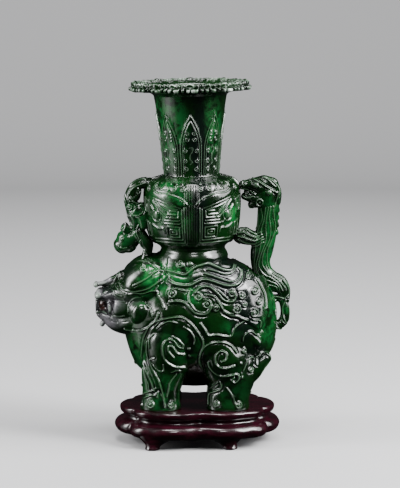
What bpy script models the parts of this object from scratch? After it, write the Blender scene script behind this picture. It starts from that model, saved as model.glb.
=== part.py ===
"""A green stone carving of a mythical beast that carries a vase on its back, on a lobed wooden stand.

The stone is one solid: beast, vase, dragon handle and cub are cut from one block. Closed shells give its
masses, a voxel remesh fuses them, the relief is pushed out of the fused skin, and a decimation keeps the
facets where the form turns. The stand is a second solid that the beast only rests on.
Sizes are in millimetres, measured from the vase's axis and from the surface that the stand stands on.
The beast looks along -X, and the work's shown side faces -Y.
"""

import math

import bpy
import numpy as np

MM = 0.001

# Driving sizes
RIM_HEIGHT = 253.2
STAND_HEIGHT = 26.0
REST_GAP = 0.3
STAND_CENTRE_X = 4.5
BULB_RADIUS = 33.0
NECK_FOOT_RADIUS = 19.2
NECK_TOP_RADIUS = 25.2
RIM_RADIUS = 42.8
RIM_LOBES = 26
VASE_CENTRE_X = 1.6
VASE_LEAN_FROM = 135.0
VASE_LEAN_DEG = 1.0

# Fused skin
VOXEL = 1.0
CARVING_TRIANGLES = 8200

# Materials: name, colour, roughness, coat
GREEN_STONE = ("green_stone", (0.012, 0.120, 0.022, 1.0), 0.18, 0.6)
ROSEWOOD = ("rosewood", (0.060, 0.008, 0.011, 1.0), 0.25, 0.4)

SIDES = (-1, 1)

# Masses of the beast. Each row: x, y, z of a section's centre, its half thickness and its half width.
BODY = (
    (3, 0, 43, 22, 13),
    (3, 0, 49, 35, 21),
    (3, 0, 58, 45, 28.5),
    (4, 0, 68, 50.5, 33),
    (5.5, 0, 79, 54.5, 35.2),
    (5.5, 0, 90, 54.6, 35.6),
    (4.5, 0, 101, 52, 34),
    (2.5, 0, 111, 46, 31),
    (1.5, 0, 120, 38, 27.5),
    (1, 0, 127, 28.5, 24),
    (1.4, 0, 132, 23, 21),
)
SHOULDER = ((-12, 17, 86, 16, 12), (-13, 20, 73, 19.5, 14.5), (-15, 19.5, 60, 17.5, 13))
HAUNCH = ((22, 16, 80, 14, 12), (23, 19.5, 64, 17.5, 14.5), (25, 19.5, 52, 16, 12.5))
FRONT_LEG = (
    (-16, 19, 62, 17, 12),
    (-19, 19.4, 50, 15.5, 11.8),
    (-20.4, 19.6, 40, 13.4, 10.6),
    (-20.6, 19.8, 33, 13.2, 10.4),
    (-20.8, 19.8, 28.6, 14.2, 11.2),
    (-20.8, 19.8, 26.3, 14.0, 11.0),
)
HIND_LEG = (
    (26, 19, 60, 18, 12),
    (28, 19.4, 49, 17, 11.8),
    (27, 19.6, 40, 15.0, 10.8),
    (26.2, 19.8, 33, 14.6, 10.6),
    (26, 19.8, 28.6, 15.0, 11.2),
    (26, 19.8, 26.3, 14.8, 11.0),
)
HOCK_TUFT = (
    (38, 17, 44, 5, 7),
    (43, 17.5, 51, 5.4, 7),
    (48, 17.5, 57.5, 5.0, 6),
    (53, 17, 62, 3.4, 4.4),
)
RUMP_LOCK = ((36, 20, 78, 5.0, 5), (41, 20.5, 77, 5.6, 5), (46, 20, 72.5, 4.6, 5))
UPPER_HEAD = (
    (-20, 0, 113, 19, 25.5),
    (-28, 0, 112.5, 20, 26),
    (-36, 0, 109.8, 17.6, 25),
    (-43, 0, 106.6, 12.8, 22),
    (-50, 0, 105.4, 9.0, 18),
    (-57, 0, 104.2, 5.4, 15.4),
    (-61.5, 0, 103.8, 4.3, 13.8),
    (-65.2, 0, 103.6, 3.9, 12.6),
    (-66.8, 0, 103.7, 2.2, 10),
)
JAW = (
    (-24, 0, 92, 15, 24.5),
    (-34, 0, 89, 15, 23),
    (-43, 0, 86.2, 12, 19),
    (-51, 0, 85.6, 8.8, 15),
    (-57.5, 0, 88.4, 6.2, 13.4),
    (-62, 0, 90.2, 4.2, 12),
    (-65.2, 0, 91, 2.6, 10.6),
)
TONGUE = ((-44, 0, 96, 6, 12), (-52, 0, 97, 5, 10), (-59, 0, 97.4, 4, 7.5), (-62.4, 0, 97.6, 2.8, 6))
MOUTH_CORNER = ((-38, 8, 97, 9.4, 13.4), (-45, 6.4, 97, 8.8, 12.6), (-50, 5, 97, 8.2, 12), (-54, 4.4, 97, 5.6, 10.6))
CHEEK = ((-38, 16, 96, 7, 8), (-34.5, 17, 94, 9.6, 9.8), (-30.5, 16, 92, 7.5, 8))
NOSE_BLADE = (
    (-45, 0, 117.6, 4, 6),
    (-51, 0, 115.6, 2.8, 5.4),
    (-57, 0, 113.2, 1.8, 4.8),
    (-62, 0, 111.2, 1.6, 4.2),
    (-66.4, 0, 110.2, 1.8, 3.4),
)
FANG = ((-56.4, 13.0, 100.5, 1.8, 1.6), (-56.4, 13.2, 96.5, 1.7, 1.5), (-56, 13.0, 92.6, 1.6, 1.5))
TUSK = ((-64.8, 9.4, 101, 1.7, 2.0), (-65.2, 9.6, 96.5, 1.5, 1.8), (-64.8, 9.2, 92.4, 1.7, 2.0))
BLADE_WEB = ((-46, 0, 112.6, 4.6, 5), (-52, 0, 111.4, 3.6, 4), (-57.6, 0, 110, 2.6, 3), (-61, 0, 109, 1.8, 2.2))
CHIN_BEAD = ((-61.6, 0, 83.6, 1.8, 2.4), (-62.4, 0, 81.8, 1.8, 2.4))

# Dragon handle
DRAGON_BODY = (
    (53, 0, 176, 9.0, 7.2),
    (54.4, 0, 168, 7.6, 6.8),
    (54.0, 0, 160, 7.2, 6.4),
    (53.2, 0, 151, 7.4, 6.2),
    (51.8, 0, 143, 7.6, 6.4),
    (49.6, 0, 134, 7.8, 6.6),
    (48.8, 0, 126.5, 6.8, 6.4),
    (50.8, 0, 119, 6.8, 6.2),
    (56.0, 0, 113.4, 7.0, 6.2),
    (61.4, 0, 110.6, 6.8, 6.0),
    (65.0, 0, 106.4, 5.0, 5.4),
    (66.0, 0, 100.0, 3.6, 4.8),
)
TAIL_RING = (
    (55.0, 0, 97, 2.6, 4.2),
    (59.6, 0, 101, 2.4, 4.4),
    (64.6, 0, 99, 3.2, 4.6),
    (66.2, 0, 92, 3.3, 4.6),
    (65.4, 0, 85.4, 3.4, 4.6),
    (61.6, 0, 81.8, 3.4, 4.6),
    (57.6, 0, 83.4, 3.2, 4.4),
)
DRAGON_SNOUT = (
    (56, 0, 178, 8.0, 6.8),
    (50, 0, 179.6, 7.6, 7.0),
    (44.5, 0, 180.4, 5.4, 6.2),
    (39.5, 0, 180.6, 3.8, 5.2),
    (35.6, 0, 180.4, 3.0, 4.4),
)
DRAGON_JAW = (
    (54, 0, 170, 7, 6.4),
    (48, 0, 170.8, 5.4, 6),
    (42, 0, 171.8, 3.6, 5.2),
    (37, 0, 172.8, 2.4, 4.2),
)
DRAGON_CREST = (
    (44, 0, 184.2, 1.5, 3.6),
    (51, 0, 184.8, 2.2, 5.4),
    (57.4, 0, 182.0, 2.6, 6.6),
    (60.6, 0, 176.0, 2.6, 6.6),
    (60.6, 0, 169.0, 2.4, 5.6),
)
DRAGON_MOUTH = ((52, 0, 175.4, 7, 6), (45, 0, 175.8, 4, 5), (39.5, 0, 176, 3, 3.8))
DRAGON_BEARD = ((48, 0, 168, 3.2, 5.6), (44.0, 0, 167.4, 3.0, 5.0), (41.6, 0, 166.8, 2.2, 4.2))
DRAGON_ARM = (
    (51, 0, 143.6, 5.2, 5.8),
    (46, 0, 143.0, 4.6, 6.4),
    (41, 0, 143.8, 5.6, 7.0),
    (37, 0, 144.8, 6.0, 7.0),
    (33.5, 0, 144.8, 5.2, 6.0),
)
# Fins down the back of the handle: how many, the first one's height, and the drop and draw-in of each step
FRINGE_FINS = 6
FRINGE_TOP = 174.0
FRINGE_STEP = (-0.234, -5.2)
FRINGE_FIN = ((56.4, 0, 1.6, 2.2, 3.4), (60.2, 0, 0.4, 2.1, 3.0), (61.4, 0, -1.4, 1.5, 2.0))

# Cub that climbs head down from the vase's shoulder to the beast's brow
CUB_BACK = (
    (-28.0, 0, 181.8, 4.0, 6.6),
    (-35.0, 0, 181.4, 3.8, 6.6),
    (-40.2, 0, 177.6, 3.8, 6.2),
    (-42.6, 0, 171.6, 3.9, 6.2),
    (-41.0, 0, 166.0, 5.0, 6.6),
    (-38.2, 0, 161.0, 6.6, 7.8),
    (-37.2, 0, 154.6, 5.6, 7.0),
    (-38.2, 0, 147.4, 5.8, 6.8),
    (-39.8, 0, 142.4, 5.0, 6.0),
)
CUB_CURL = ((-42.0, 0, 170, 2.8, 5.2), (-38.4, 0, 172.0, 3.0, 5.4), (-36.6, 0, 176, 2.4, 4.8))
CUB_HEAD = (
    (-38.0, 0, 145.0, 5.6, 6.6),
    (-42.6, 0, 142.6, 8.0, 8.2),
    (-46.0, 0, 139.8, 8.2, 8.2),
    (-48.8, 0, 137.8, 6.0, 6.8),
)
CUB_EAR = ((-43.6, 5.0, 148.0, 2.4, 2.0), (-46.6, 6.2, 151.4, 2.8, 2.0))
CUB_ARM = (
    (-37.0, 4.6, 148.0, 4.4, 3.4),
    (-33.0, 6.0, 142.5, 3.8, 3.2),
    (-29.8, 6.6, 138.0, 3.6, 3.0),
    (-30.6, 6.8, 132.6, 3.2, 3.0),
    (-32.0, 6.8, 128.6, 3.2, 3.4),
)
CUB_HIND_LEG = (
    (-37.0, 5.4, 163.5, 5.4, 3.6),
    (-33.2, 6.4, 158.6, 4.2, 3.4),
    (-32.6, 6.6, 152.0, 2.8, 3.0),
)

# Vase: radius and height up the outside, over the rim and down the inside
VASE_OUTSIDE = (
    (22.0, 122.0),
    (24.4, 130.0),
    (23.8, 133.6),
    (22.4, 136.4),
    (23.4, 138.8),
    (27.4, 142.0),
    (30.6, 148.0),
    (32.2, 156.0),
    (BULB_RADIUS, 166.0),
    (BULB_RADIUS, 175.0),
    (32.0, 181.0),
    (29.2, 184.4),
    (24.0, 186.4),
    (NECK_FOOT_RADIUS, 188.4),
    (19.4, 193.0),
    (20.6, 206.0),
    (22.4, 222.0),
    (NECK_TOP_RADIUS, 241.0),
    (27.2, 244.8),
    (32.0, 246.4),
)
VASE_INSIDE = (
    (24.6, 246.6),
    (20.6, 240.0),
    (17.2, 220.0),
    (15.2, 202.0),
    (14.8, 190.0),
    (18.8, 184.0),
    (24.0, 177.0),
    (25.8, 166.0),
    (24.8, 156.0),
    (19.0, 148.4),
    (8.0, 145.6),
)
RIM_EDGE = (
    (38.0, -6.9),
    (41.6, -6.6),
    (RIM_RADIUS, -4.6),
    (41.4, -2.8),
    (41.6, -1.2),
    (39.6, 0.0),
    (35.0, -0.6),
    (29.0, -2.6),
)
RIM_WAVE = 1.7

# Relief on the vase
LEAVES = 8
LEAF_FOOT = 190.0
LEAF_SHOULDER = 211.0
LEAF_TIP = 230.0
PANELS = 2
FLANGE_HALF_WIDTH = 4.2
SIDE_FLANGE_HALF_WIDTH = 3.0
PANEL_FOOT = 142.0
PANEL_TOP = 181.0
PANEL_LINES = (
    ((33, 144.4), (6.4, 144.4), (6.4, 167)),
    ((9.4, 147.4), (19, 147.4), (19, 155), (9.4, 155), (9.4, 147.4)),
    ((12.4, 151.2), (16, 151.2)),
    ((9.4, 158.6), (20.6, 158.6)),
    ((10, 163), (19, 163)),
    ((29, 173), (20.4, 164)),
    ((35, 157), (28, 153.4), (22, 154)),
)
PANEL_BROW = ((3.4, 171), (8, 174.6), (16, 177.6), (30, 179.4), (32, 174.4), (20, 171.4), (8, 168))
PANEL_EYE = (28, 162)

# Relief on both flanks, as x and z of the lines' points
MANE_OUTLINE = (
    (-17, 124), (-15, 113), (-16, 105), (-10, 102.5), (-3, 101), (3, 96.5), (9, 95), (15, 98), (20, 99),
    (26, 95), (33, 93.5), (41, 86.5), (49, 80.5), (53, 90), (58, 100), (64, 118), (40, 140), (-10, 140),
)
MANE_STRANDS = (
    ((-6, 120), (3, 124.6), (10, 126), (17, 124.6), (23, 121.2), (27, 122), (29, 128)),
    ((-14, 118.4), (-5, 116.6), (3, 120.2), (10, 121), (17, 119), (23, 116.2), (29, 116.2), (32.6, 122)),
    ((-15, 114.6), (-5, 112.4), (3, 115.6), (10, 116.6), (17, 114.2), (24, 111.2), (31, 111.6), (36, 118)),
    ((1, 108), (5, 111.6), (10, 112), (15, 109.4), (20, 104.4), (24, 101.2), (29, 102.6)),
    ((9, 107.6), (14, 106.4), (19, 101.6), (24, 96.4), (31, 94)),
)
BELLY_LINE = ((7, 89), (12, 80.4), (20, 81), (27.5, 79.6), (31, 86), (37.5, 90))
LEG_LINES = (
    ((-33, 62), (-31, 55), (-27.6, 48), (-25.6, 41)),
    ((-29.6, 66), (-26.6, 56.5), (-21.5, 47), (-18.4, 35)),
    ((-10, 53), (-14, 47), (-15.6, 41), (-16.6, 36)),
    ((42, 43), (47, 51.5), (52, 58), (56, 61)),
)
BROW_LEAF = (
    (-50.5, 113.6),
    (-46, 110.2),
    (-38, 109.8),
    (-30, 112),
    (-21, 116.6),
    (-15, 122),
    (-24, 127),
    (-34, 129),
    (-44, 123),
)
CHEEK_SPOT = (-34.5, 94)

# (x, z) centre, outer radius, inner radius, start angle and turn in degrees
SPIRALS = (
    (-12.5, 72.5, 21, 21, 205, -275),
    (-11.5, 67.5, 10.5, 3.5, 290, -330),
    (20.5, 62.0, 14.5, 12.5, 210, -250),
    (21.5, 62.5, 7.5, 2.5, 330, -400),
)
CURLS = (
    (-12.6, 107.1, 4.4), (5.3, 106.0, 3.6), (11.3, 101.6, 3.8), (17.3, 98.8, 3.4), (27.9, 107.0, 3.6),
    (34.7, 105.6, 3.0), (43.4, 107.6, 3.6), (31.0, 96.8, 4.2), (43.4, 93.0, 4.0), (40.0, 116.6, 4.0),
    (32.0, 49.4, 2.8), (39.0, 56.0, 2.6), (-27.6, 31.4, 3.4), (-14.0, 30.8, 3.0), (33.4, 30.6, 3.0),
)

# Stand: half length, half width and height up its section, its plan's cusps and dips, and its feet
STAND_SECTION = (
    (50.0, 36.0, 7.0),
    (55.4, 39.6, 7.6),
    (57.8, 41.6, 10.2),
    (58.2, 42.0, 12.8),
    (56.2, 40.2, 15.6),
    (51.6, 36.0, 17.4),
    (50.8, 35.4, 19.6),
    (53.8, 38.0, 21.4),
    (54.6, 38.8, 24.6),
    (53.2, 37.6, STAND_HEIGHT),
)
STAND_TURN_DEG = 3.0
STAND_CUSPS = (30, 150, 210, 330)
CUSP_DEPTH = 0.11
# Soft dips: degrees from the middle of the front or back, depth, and reach in degrees
STAND_DIPS = ((0, 0.10, 11), (34, 0.022, 6))
STAND_SQUARENESS = 2.6
FOOT_SPOTS = ((-31, -31), (19.5, -31))
# Up a foot: half length, half width, height, and how far the section moves out from the foot's spot
FOOT_SECTION = (
    (4.4, 3.8, 0.0, 1.6),
    (5.2, 4.6, 0.8, 1.8),
    (5.0, 4.4, 2.0, 1.4),
    (6.4, 5.0, 4.0, 0.4),
    (10.6, 6.6, 6.6, -1.0),
    (13.6, 7.6, 8.8, -2.0),
    (13.6, 7.6, 10.5, -2.0),
)


def smooth_rows(rows, count):
    """Rows of numbers read at even steps along a Catmull-Rom curve through them."""
    rows = np.asarray(rows, float)
    padded = np.vstack([2 * rows[0] - rows[1], rows, 2 * rows[-1] - rows[-2]])
    at = np.linspace(0, len(rows) - 1, count)
    start = np.minimum(at.astype(int), len(rows) - 2)
    u = (at - start)[:, None]
    a, b, c, d = (padded[start + k] for k in range(4))
    bend = 2 * a - 5 * b + 4 * c - d
    return 0.5 * (2 * b + (c - a) * u + bend * u**2 + (3 * b - a - 3 * c + d) * u**3)


def with_domes(path, share):
    """The path with rows added past both ends, which closes each in a dome of a share of its thickness."""
    angles = np.radians((30, 55, 75))[:, None]
    parts = []
    for end, before in ((path[0], path[1]), (path[-1], path[-2])):
        run = end[:3] - before[:3]
        run /= np.linalg.norm(run)
        reach = share * min(end[3], end[4])
        dome = np.hstack([end[:3] + np.sin(angles) * reach * run, np.cos(angles) * end[3:]])
        parts.append(dome)
    return np.vstack([parts[0][::-1], path, parts[1]])


class Shells:
    """Closed shells gathered into one mesh, in millimetres."""

    def __init__(self):
        self.points = []
        self.faces = []
        self.count = 0

    def add_rings(self, rings):
        """A closed tube through rings of points, with a fan at each end."""
        rows, around, _ = rings.shape
        first = self.count
        self.points.append(rings.reshape(-1, 3))
        self.points.append(np.array([rings[0].mean(0), rings[-1].mean(0)]))
        foot, head = first + rows * around, first + rows * around + 1
        last = first + (rows - 1) * around
        for j in range(around):
            k = (j + 1) % around
            for low in range(first, last, around):
                self.faces.append((low + j, low + k, low + around + k, low + around + j))
            self.faces.append((foot, first + k, first + j))
            self.faces.append((head, last + j, last + k))
        self.count += rows * around + 2

    def limb(self, rows, side=1, dome=0.8):
        """A closed shell along rows of x, y, z, half thickness and half width. Side -1 mirrors it."""
        path = smooth_rows(rows, 5 * len(rows))
        path[:, 3:] = np.maximum(path[:, 3:], 0.6)
        if dome:
            path = with_domes(path, dome)
        run = np.gradient(path[:, :3], axis=0)
        run /= np.linalg.norm(run, axis=1)[:, None]
        out = np.cross(run, (0.0, 1.0, 0.0))
        out /= np.linalg.norm(out, axis=1)[:, None]
        across = np.cross(out, run)
        angle = np.linspace(0, 2 * math.pi, 28, endpoint=False)[None, :, None]
        thick = np.cos(angle) * (out * path[:, 3:4])[:, None]
        wide = np.sin(angle) * (across * path[:, 4:5])[:, None]
        rings = path[:, None, :3] + thick + wide
        if side < 0:
            rings = rings[:, ::-1] * (1, -1, 1)
        self.add_rings(rings)

    def turned(self, profile, around, shape):
        """A closed shell turned about the vase's axis, with its radius and height set by a shape function."""
        angle = np.linspace(0, 2 * math.pi, around, endpoint=False)[None, :]
        radius, height = (column[:, None] for column in np.asarray(profile, float).T)
        radius, height = shape(radius, height, angle)
        rings = np.stack([radius * np.cos(angle), radius * np.sin(angle), height], axis=2)
        self.add_rings(lean(rings))

    def to_object(self, name):
        """The shells as one object in metres."""
        mesh = bpy.data.meshes.new(name)
        mesh.from_pydata((np.vstack(self.points) * MM).tolist(), [], self.faces)
        obj = bpy.data.objects.new(name, mesh)
        bpy.context.scene.collection.objects.link(obj)
        return obj


def rim_shape(radius, height, angle):
    """Lobes that grow towards the rim's edge: they swell it outwards, dip under it and rise on top of it."""
    share = np.clip((radius - 30.0) / (RIM_RADIUS - 30.0), 0, 1) ** 2 * (height > RIM_HEIGHT - 12)
    lobe = np.abs(np.sin(RIM_LOBES / 2 * angle))
    crest = np.abs(np.cos(RIM_LOBES / 2 * angle))
    lift = np.where(height > RIM_HEIGHT - 3.5, crest - 1.0, 1.0 - lobe)
    return radius + RIM_WAVE * share * (lobe - 0.7), height + RIM_WAVE * share * lift


def lean(points, way=1):
    """Points of the upright vase tipped a little towards the head, where it stands. Way -1 undoes it."""
    tip = math.radians(-way * VASE_LEAN_DEG)
    foot = np.array((VASE_CENTRE_X, 0, VASE_LEAN_FROM))
    turn = np.array(((math.cos(tip), 0, math.sin(tip)), (0, 1, 0), (-math.sin(tip), 0, math.cos(tip))))
    own = (0, 0, VASE_LEAN_FROM)
    if way > 0:
        return (points - own) @ turn.T + foot
    return (points - foot) @ turn.T + own


def vase_profile():
    """The vase's closed section, with a solid foot and an open mouth."""
    edge = [(radius, RIM_HEIGHT + drop) for radius, drop in RIM_EDGE]
    outside = smooth_rows(VASE_OUTSIDE, 4 * len(VASE_OUTSIDE))
    inside = smooth_rows(VASE_INSIDE, 3 * len(VASE_INSIDE))
    return np.vstack([outside, smooth_rows(edge, 3 * len(edge)), inside])


def add_beast(shells):
    """Body, head, jaw and legs, with the pieces that come in pairs on both sides."""
    shells.limb(BODY, dome=0.35)
    for rows in (UPPER_HEAD, JAW, TONGUE, NOSE_BLADE, BLADE_WEB, CHIN_BEAD):
        shells.limb(rows)
    for side in SIDES:
        for rows in (SHOULDER, HAUNCH, MOUTH_CORNER, CHEEK, FANG, TUSK, HOCK_TUFT, RUMP_LOCK):
            shells.limb(rows, side)
        for rows in (FRONT_LEG, HIND_LEG):
            shells.limb(rows, side, dome=0)


def add_dragon(shells):
    """The handle: head at the bulb, paw under it, body down to the ring of its tail."""
    head = (DRAGON_SNOUT, DRAGON_JAW, DRAGON_MOUTH, DRAGON_CREST, DRAGON_BEARD)
    for rows in (DRAGON_BODY, TAIL_RING, DRAGON_ARM, *head):
        shells.limb(rows)
    for step in range(FRINGE_FINS):
        move = np.array((FRINGE_STEP[0] * step, 0, FRINGE_TOP + FRINGE_STEP[1] * step, 0, 0))
        shells.limb(np.array(FRINGE_FIN) + move)


def add_cub(shells):
    """The cub: arched back, head, and limbs on both sides."""
    for rows in (CUB_BACK, CUB_CURL, CUB_HEAD):
        shells.limb(rows)
    for side in SIDES:
        for rows in (CUB_EAR, CUB_ARM, CUB_HIND_LEG):
            shells.limb(rows, side)


def evaluated_arrays(obj):
    """An object's evaluated points in millimetres, its vertex normals and its faces."""
    bpy.context.view_layer.update()
    mesh = bpy.data.meshes.new_from_object(obj.evaluated_get(bpy.context.evaluated_depsgraph_get()))
    points = np.empty(3 * len(mesh.vertices))
    normals = np.empty(3 * len(mesh.vertices))
    mesh.vertices.foreach_get("co", points)
    mesh.vertex_normals.foreach_get("vector", normals)
    faces = [tuple(face.vertices) for face in mesh.polygons]
    bpy.data.meshes.remove(mesh)
    return points.reshape(-1, 3) / MM, normals.reshape(-1, 3), faces


def line_distance(spots, line, reach):
    """Each spot's distance to a line of points, or the reach where it is farther."""
    far = np.full(len(spots), reach)
    low, high = line.min(0) - reach, line.max(0) + reach
    near = np.flatnonzero(((spots > low) & (spots < high)).all(1))
    for start, end in zip(line[:-1], line[1:]):
        run = end - start
        gap = spots[near] - start
        share = np.clip(gap @ run / max(run @ run, 1e-9), 0, 1)
        far[near] = np.minimum(far[near], np.linalg.norm(gap - share[:, None] * run, axis=1))
    return far


def cord(spots, line, half_width, height):
    """The height of a round cord laid along a line."""
    distance = line_distance(spots, np.asarray(line, float), half_width)
    return height * np.sqrt(np.clip(1 - (distance / half_width) ** 2, 0, 1))


def inside(spots, outline):
    """Which spots lie inside a closed outline."""
    outline = np.asarray(outline, float)
    found = np.zeros(len(spots), bool)
    x, z = spots.T
    for (ax, az), (bx, bz) in zip(outline, np.roll(outline, -1, axis=0)):
        crosses = (az > z) != (bz > z)
        found ^= crosses & (x < ax + (z - az) * (bx - ax) / (bz - az if bz != az else 1e-9))
    return found


def plateau(spots, outline, height, slope):
    """The height of a raised field that falls off over a slope inside its outline."""
    closed = np.vstack([outline, outline[:1]]).astype(float)
    distance = line_distance(spots, closed, slope)
    return height * np.where(inside(spots, outline), np.sin(distance / slope * math.pi / 2), 0)


def spiral(centre, outer, inner, start, turn):
    """Points along a spiral from its outer to its inner radius."""
    share = np.linspace(0, 1, 40)
    angle = np.radians(start + turn * share)
    radius = outer + (inner - outer) * share
    return np.stack([centre[0] + radius * np.cos(angle), centre[1] + radius * np.sin(angle)], axis=1)


def flank_relief(points):
    """Mane, spirals, brow and lines of both flanks, as heights over the skin."""
    spots = points[:, [0, 2]]
    height = plateau(spots, MANE_OUTLINE, 1.2, 2.5)
    height += plateau(spots, BROW_LEAF, 1.8, 3.0)
    for strand in MANE_STRANDS:
        height += cord(spots, smooth_rows(strand, 24), 1.5, 1.3)
    for line in (BELLY_LINE, *LEG_LINES):
        height += cord(spots, line, 1.1, 1.0)
    for x, z, outer, inner, start, turn in SPIRALS:
        height += cord(spots, spiral((x, z), outer, inner, start, turn), 1.3, 1.3)
    for x, z, radius in CURLS:
        height += cord(spots, spiral((x, z), radius - 1, 1, 90, -420), 1.2, 1.2)
    cheek = np.linalg.norm(spots - CHEEK_SPOT, axis=1)
    return height + 1.2 * np.exp(-(((cheek - 11) / 1.4) ** 2)) * (spots[:, 0] > CHEEK_SPOT[0] - 3)


def leaf_relief(angle, z):
    """Pointed blades that stand round the neck."""
    step = 2 * math.pi / LEAVES
    across = np.abs((angle + math.pi / 2 + step / 2) % step - step / 2) / (step / 2)
    narrow = np.clip((LEAF_TIP - z) / (LEAF_TIP - LEAF_SHOULDER), 0, 1) ** 0.75
    edge = np.abs(across - 0.86 * narrow) * 8.0
    blade = 0.5 * ((across < 0.86 * narrow) & (z > LEAF_FOOT))
    return blade + np.where((z > LEAF_FOOT) & (z < LEAF_TIP + 1), 0.8 * np.clip(1 - edge / 1.3, 0, 1), 0)


def bulb_relief(angle, z):
    """Mirrored about the front and back flange: a framed fret, a slanting brow band over it and a round eye."""
    step = 2 * math.pi / PANELS
    along = np.abs((angle + math.pi / 2 + step / 2) % step - step / 2) * BULB_RADIUS
    spots = np.column_stack([along, z])
    on_flange = (along < FLANGE_HALF_WIDTH) | (along > step / 2 * BULB_RADIUS - SIDE_FLANGE_HALF_WIDTH)
    height = np.where((z > PANEL_FOOT) & (z < PANEL_TOP + 3) & on_flange, 0.9, 0)
    for line in PANEL_LINES:
        height = np.maximum(height, cord(spots, line, 1.0, 1.0))
    height = np.maximum(height, plateau(spots, PANEL_BROW, 1.2, 1.6))
    eye = np.linalg.norm(spots - PANEL_EYE, axis=1)
    return np.maximum(height, 1.8 * np.sqrt(np.clip(1 - (eye / 3.8) ** 2, 0, 1)))


def vase_relief(points, normals):
    """Relief of the neck and the bulb, on the skin that lies on the vase's own turned surface."""
    upright = lean(points, way=-1)
    angle = np.arctan2(upright[:, 1], upright[:, 0])
    radius = np.hypot(upright[:, 0], upright[:, 1])
    z = upright[:, 2]
    section = smooth_rows(VASE_OUTSIDE, 200)
    own = np.abs(radius - np.interp(z, section[:, 1], section[:, 0])) < 1.2
    outward = (normals[:, :2] * upright[:, :2]).sum(1) > 0.2 * radius
    height = np.where(z > 188.0, leaf_relief(angle, z), bulb_relief(angle, z))
    return np.where(own & outward & (z > 138.0), height, 0)


def carve(points, normals):
    """The skin with its relief: flank relief where it faces sideways, and vase relief on the vase."""
    facing = np.clip((np.abs(normals[:, 1]) - 0.15) / 0.3, 0, 1)
    on_beast = (points[:, 2] < 134.0) & (points[:, 0] < 60.0)
    height = np.where(on_beast, flank_relief(points) * facing, vase_relief(points, normals))
    return points + normals * height[:, None]


def flat_soles(points):
    """The skin set down so that its soles lie in one plane over the stand."""
    sole = STAND_HEIGHT + REST_GAP
    points[:, 2] += sole - points[:, 2].min()
    points[:, 2] = np.where(points[:, 2] < sole + 0.4, sole, points[:, 2])
    return points


def build_carving(material):
    """Beast, vase, dragon and cub as one solid."""
    shells = Shells()
    add_beast(shells)
    add_dragon(shells)
    add_cub(shells)
    shells.turned(vase_profile(), 120, rim_shape)
    masses = shells.to_object("masses")
    fuse = masses.modifiers.new("fuse", "REMESH")
    fuse.mode = "VOXEL"
    fuse.voxel_size = VOXEL * MM
    melt = masses.modifiers.new("melt", "SMOOTH")
    melt.factor = 0.5
    melt.iterations = 4
    points, normals, faces = evaluated_arrays(masses)
    bpy.data.objects.remove(masses)
    points = flat_soles(carve(points, normals))
    mesh = bpy.data.meshes.new("beast_vase_carving")
    mesh.from_pydata((points * MM).tolist(), [], faces)
    mesh.materials.append(material)
    obj = bpy.data.objects.new("beast_vase_carving", mesh)
    bpy.context.scene.collection.objects.link(obj)
    thin = obj.modifiers.new("facets", "DECIMATE")
    thin.ratio = CARVING_TRIANGLES / (2 * len(faces))
    return obj


def lobed_ring(half_length, half_width, count):
    """Points round the stand's plan: a squared ellipse drawn in at its cusps, with soft dips at front and back."""
    angle = np.linspace(0, 2 * math.pi, count, endpoint=False)
    cusps = np.radians((*STAND_CUSPS, STAND_CUSPS[0] + 360))
    at = np.mod(angle - cusps[0], 2 * math.pi) + cusps[0]
    slot = np.clip(np.searchsorted(cusps, at, side="right") - 1, 0, len(STAND_CUSPS) - 1)
    near = np.minimum(at - cusps[slot], cusps[slot + 1] - at) / np.radians(60)
    cusp = CUSP_DEPTH * (1 - np.sin(math.pi * np.clip(near, 0, 0.5)) ** 0.6)
    off = np.degrees(np.arccos(np.abs(np.sin(angle))))
    dip = sum(depth * np.exp(-(((off - middle) / reach) ** 2)) for middle, depth, reach in STAND_DIPS)
    squared = np.abs(np.cos(angle)) ** STAND_SQUARENESS + np.abs(np.sin(angle)) ** STAND_SQUARENESS
    reach = squared ** (-1 / STAND_SQUARENESS) * (1 - cusp - dip)
    return np.stack([half_length * reach * np.cos(angle), half_width * reach * np.sin(angle)], axis=1)


def build_stand(material):
    """The stand's moulded body with four bracket feet under it."""
    shells = Shells()
    rings = []
    for half_length, half_width, height in STAND_SECTION:
        plan = lobed_ring(half_length, half_width, 80)
        rings.append(np.column_stack([plan, np.full(len(plan), height)]))
    shells.add_rings(np.stack(rings))
    body = shells.to_object("wooden_stand")
    body.location.x = STAND_CENTRE_X * MM
    body.rotation_euler.z = math.radians(STAND_TURN_DEG)
    body.data.materials.append(material)
    for x, y in FOOT_SPOTS:
        for side in SIDES:
            add_foot(body, side * x, side * y)
    return body


def add_foot(body, x, y):
    """A bracket foot: it leans out to a small sole and spreads up into the stand's body, which it joins."""
    foot = Shells()
    angle = np.linspace(0, 2 * math.pi, 12, endpoint=False)
    rings = []
    for half_length, half_width, height, away in FOOT_SECTION:
        along = x + math.copysign(away, x) + half_length * np.cos(angle)
        across = y + math.copysign(away, y) + half_width * np.sin(angle)
        rings.append(np.column_stack([along, across, np.full(len(angle), height)]))
    foot.add_rings(np.stack(rings))
    shape = foot.to_object("foot_shape")
    shape.hide_render = True
    shape.display_type = "WIRE"
    shape.parent = body
    join = body.modifiers.new("foot", "BOOLEAN")
    join.operation = "UNION"
    join.object = shape


def stone_or_wood(name, colour, roughness, coat):
    """A Principled material in one colour."""
    material = bpy.data.materials.new(name)
    material.use_nodes = True
    shader = material.node_tree.nodes["Principled BSDF"]
    shader.inputs["Base Color"].default_value = colour
    shader.inputs["Roughness"].default_value = roughness
    shader.inputs["Coat Weight"].default_value = coat
    return material


def main():
    for obj in list(bpy.data.objects):
        bpy.data.objects.remove(obj)
    build_carving(stone_or_wood(*GREEN_STONE))
    build_stand(stone_or_wood(*ROSEWOOD))


main()
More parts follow.
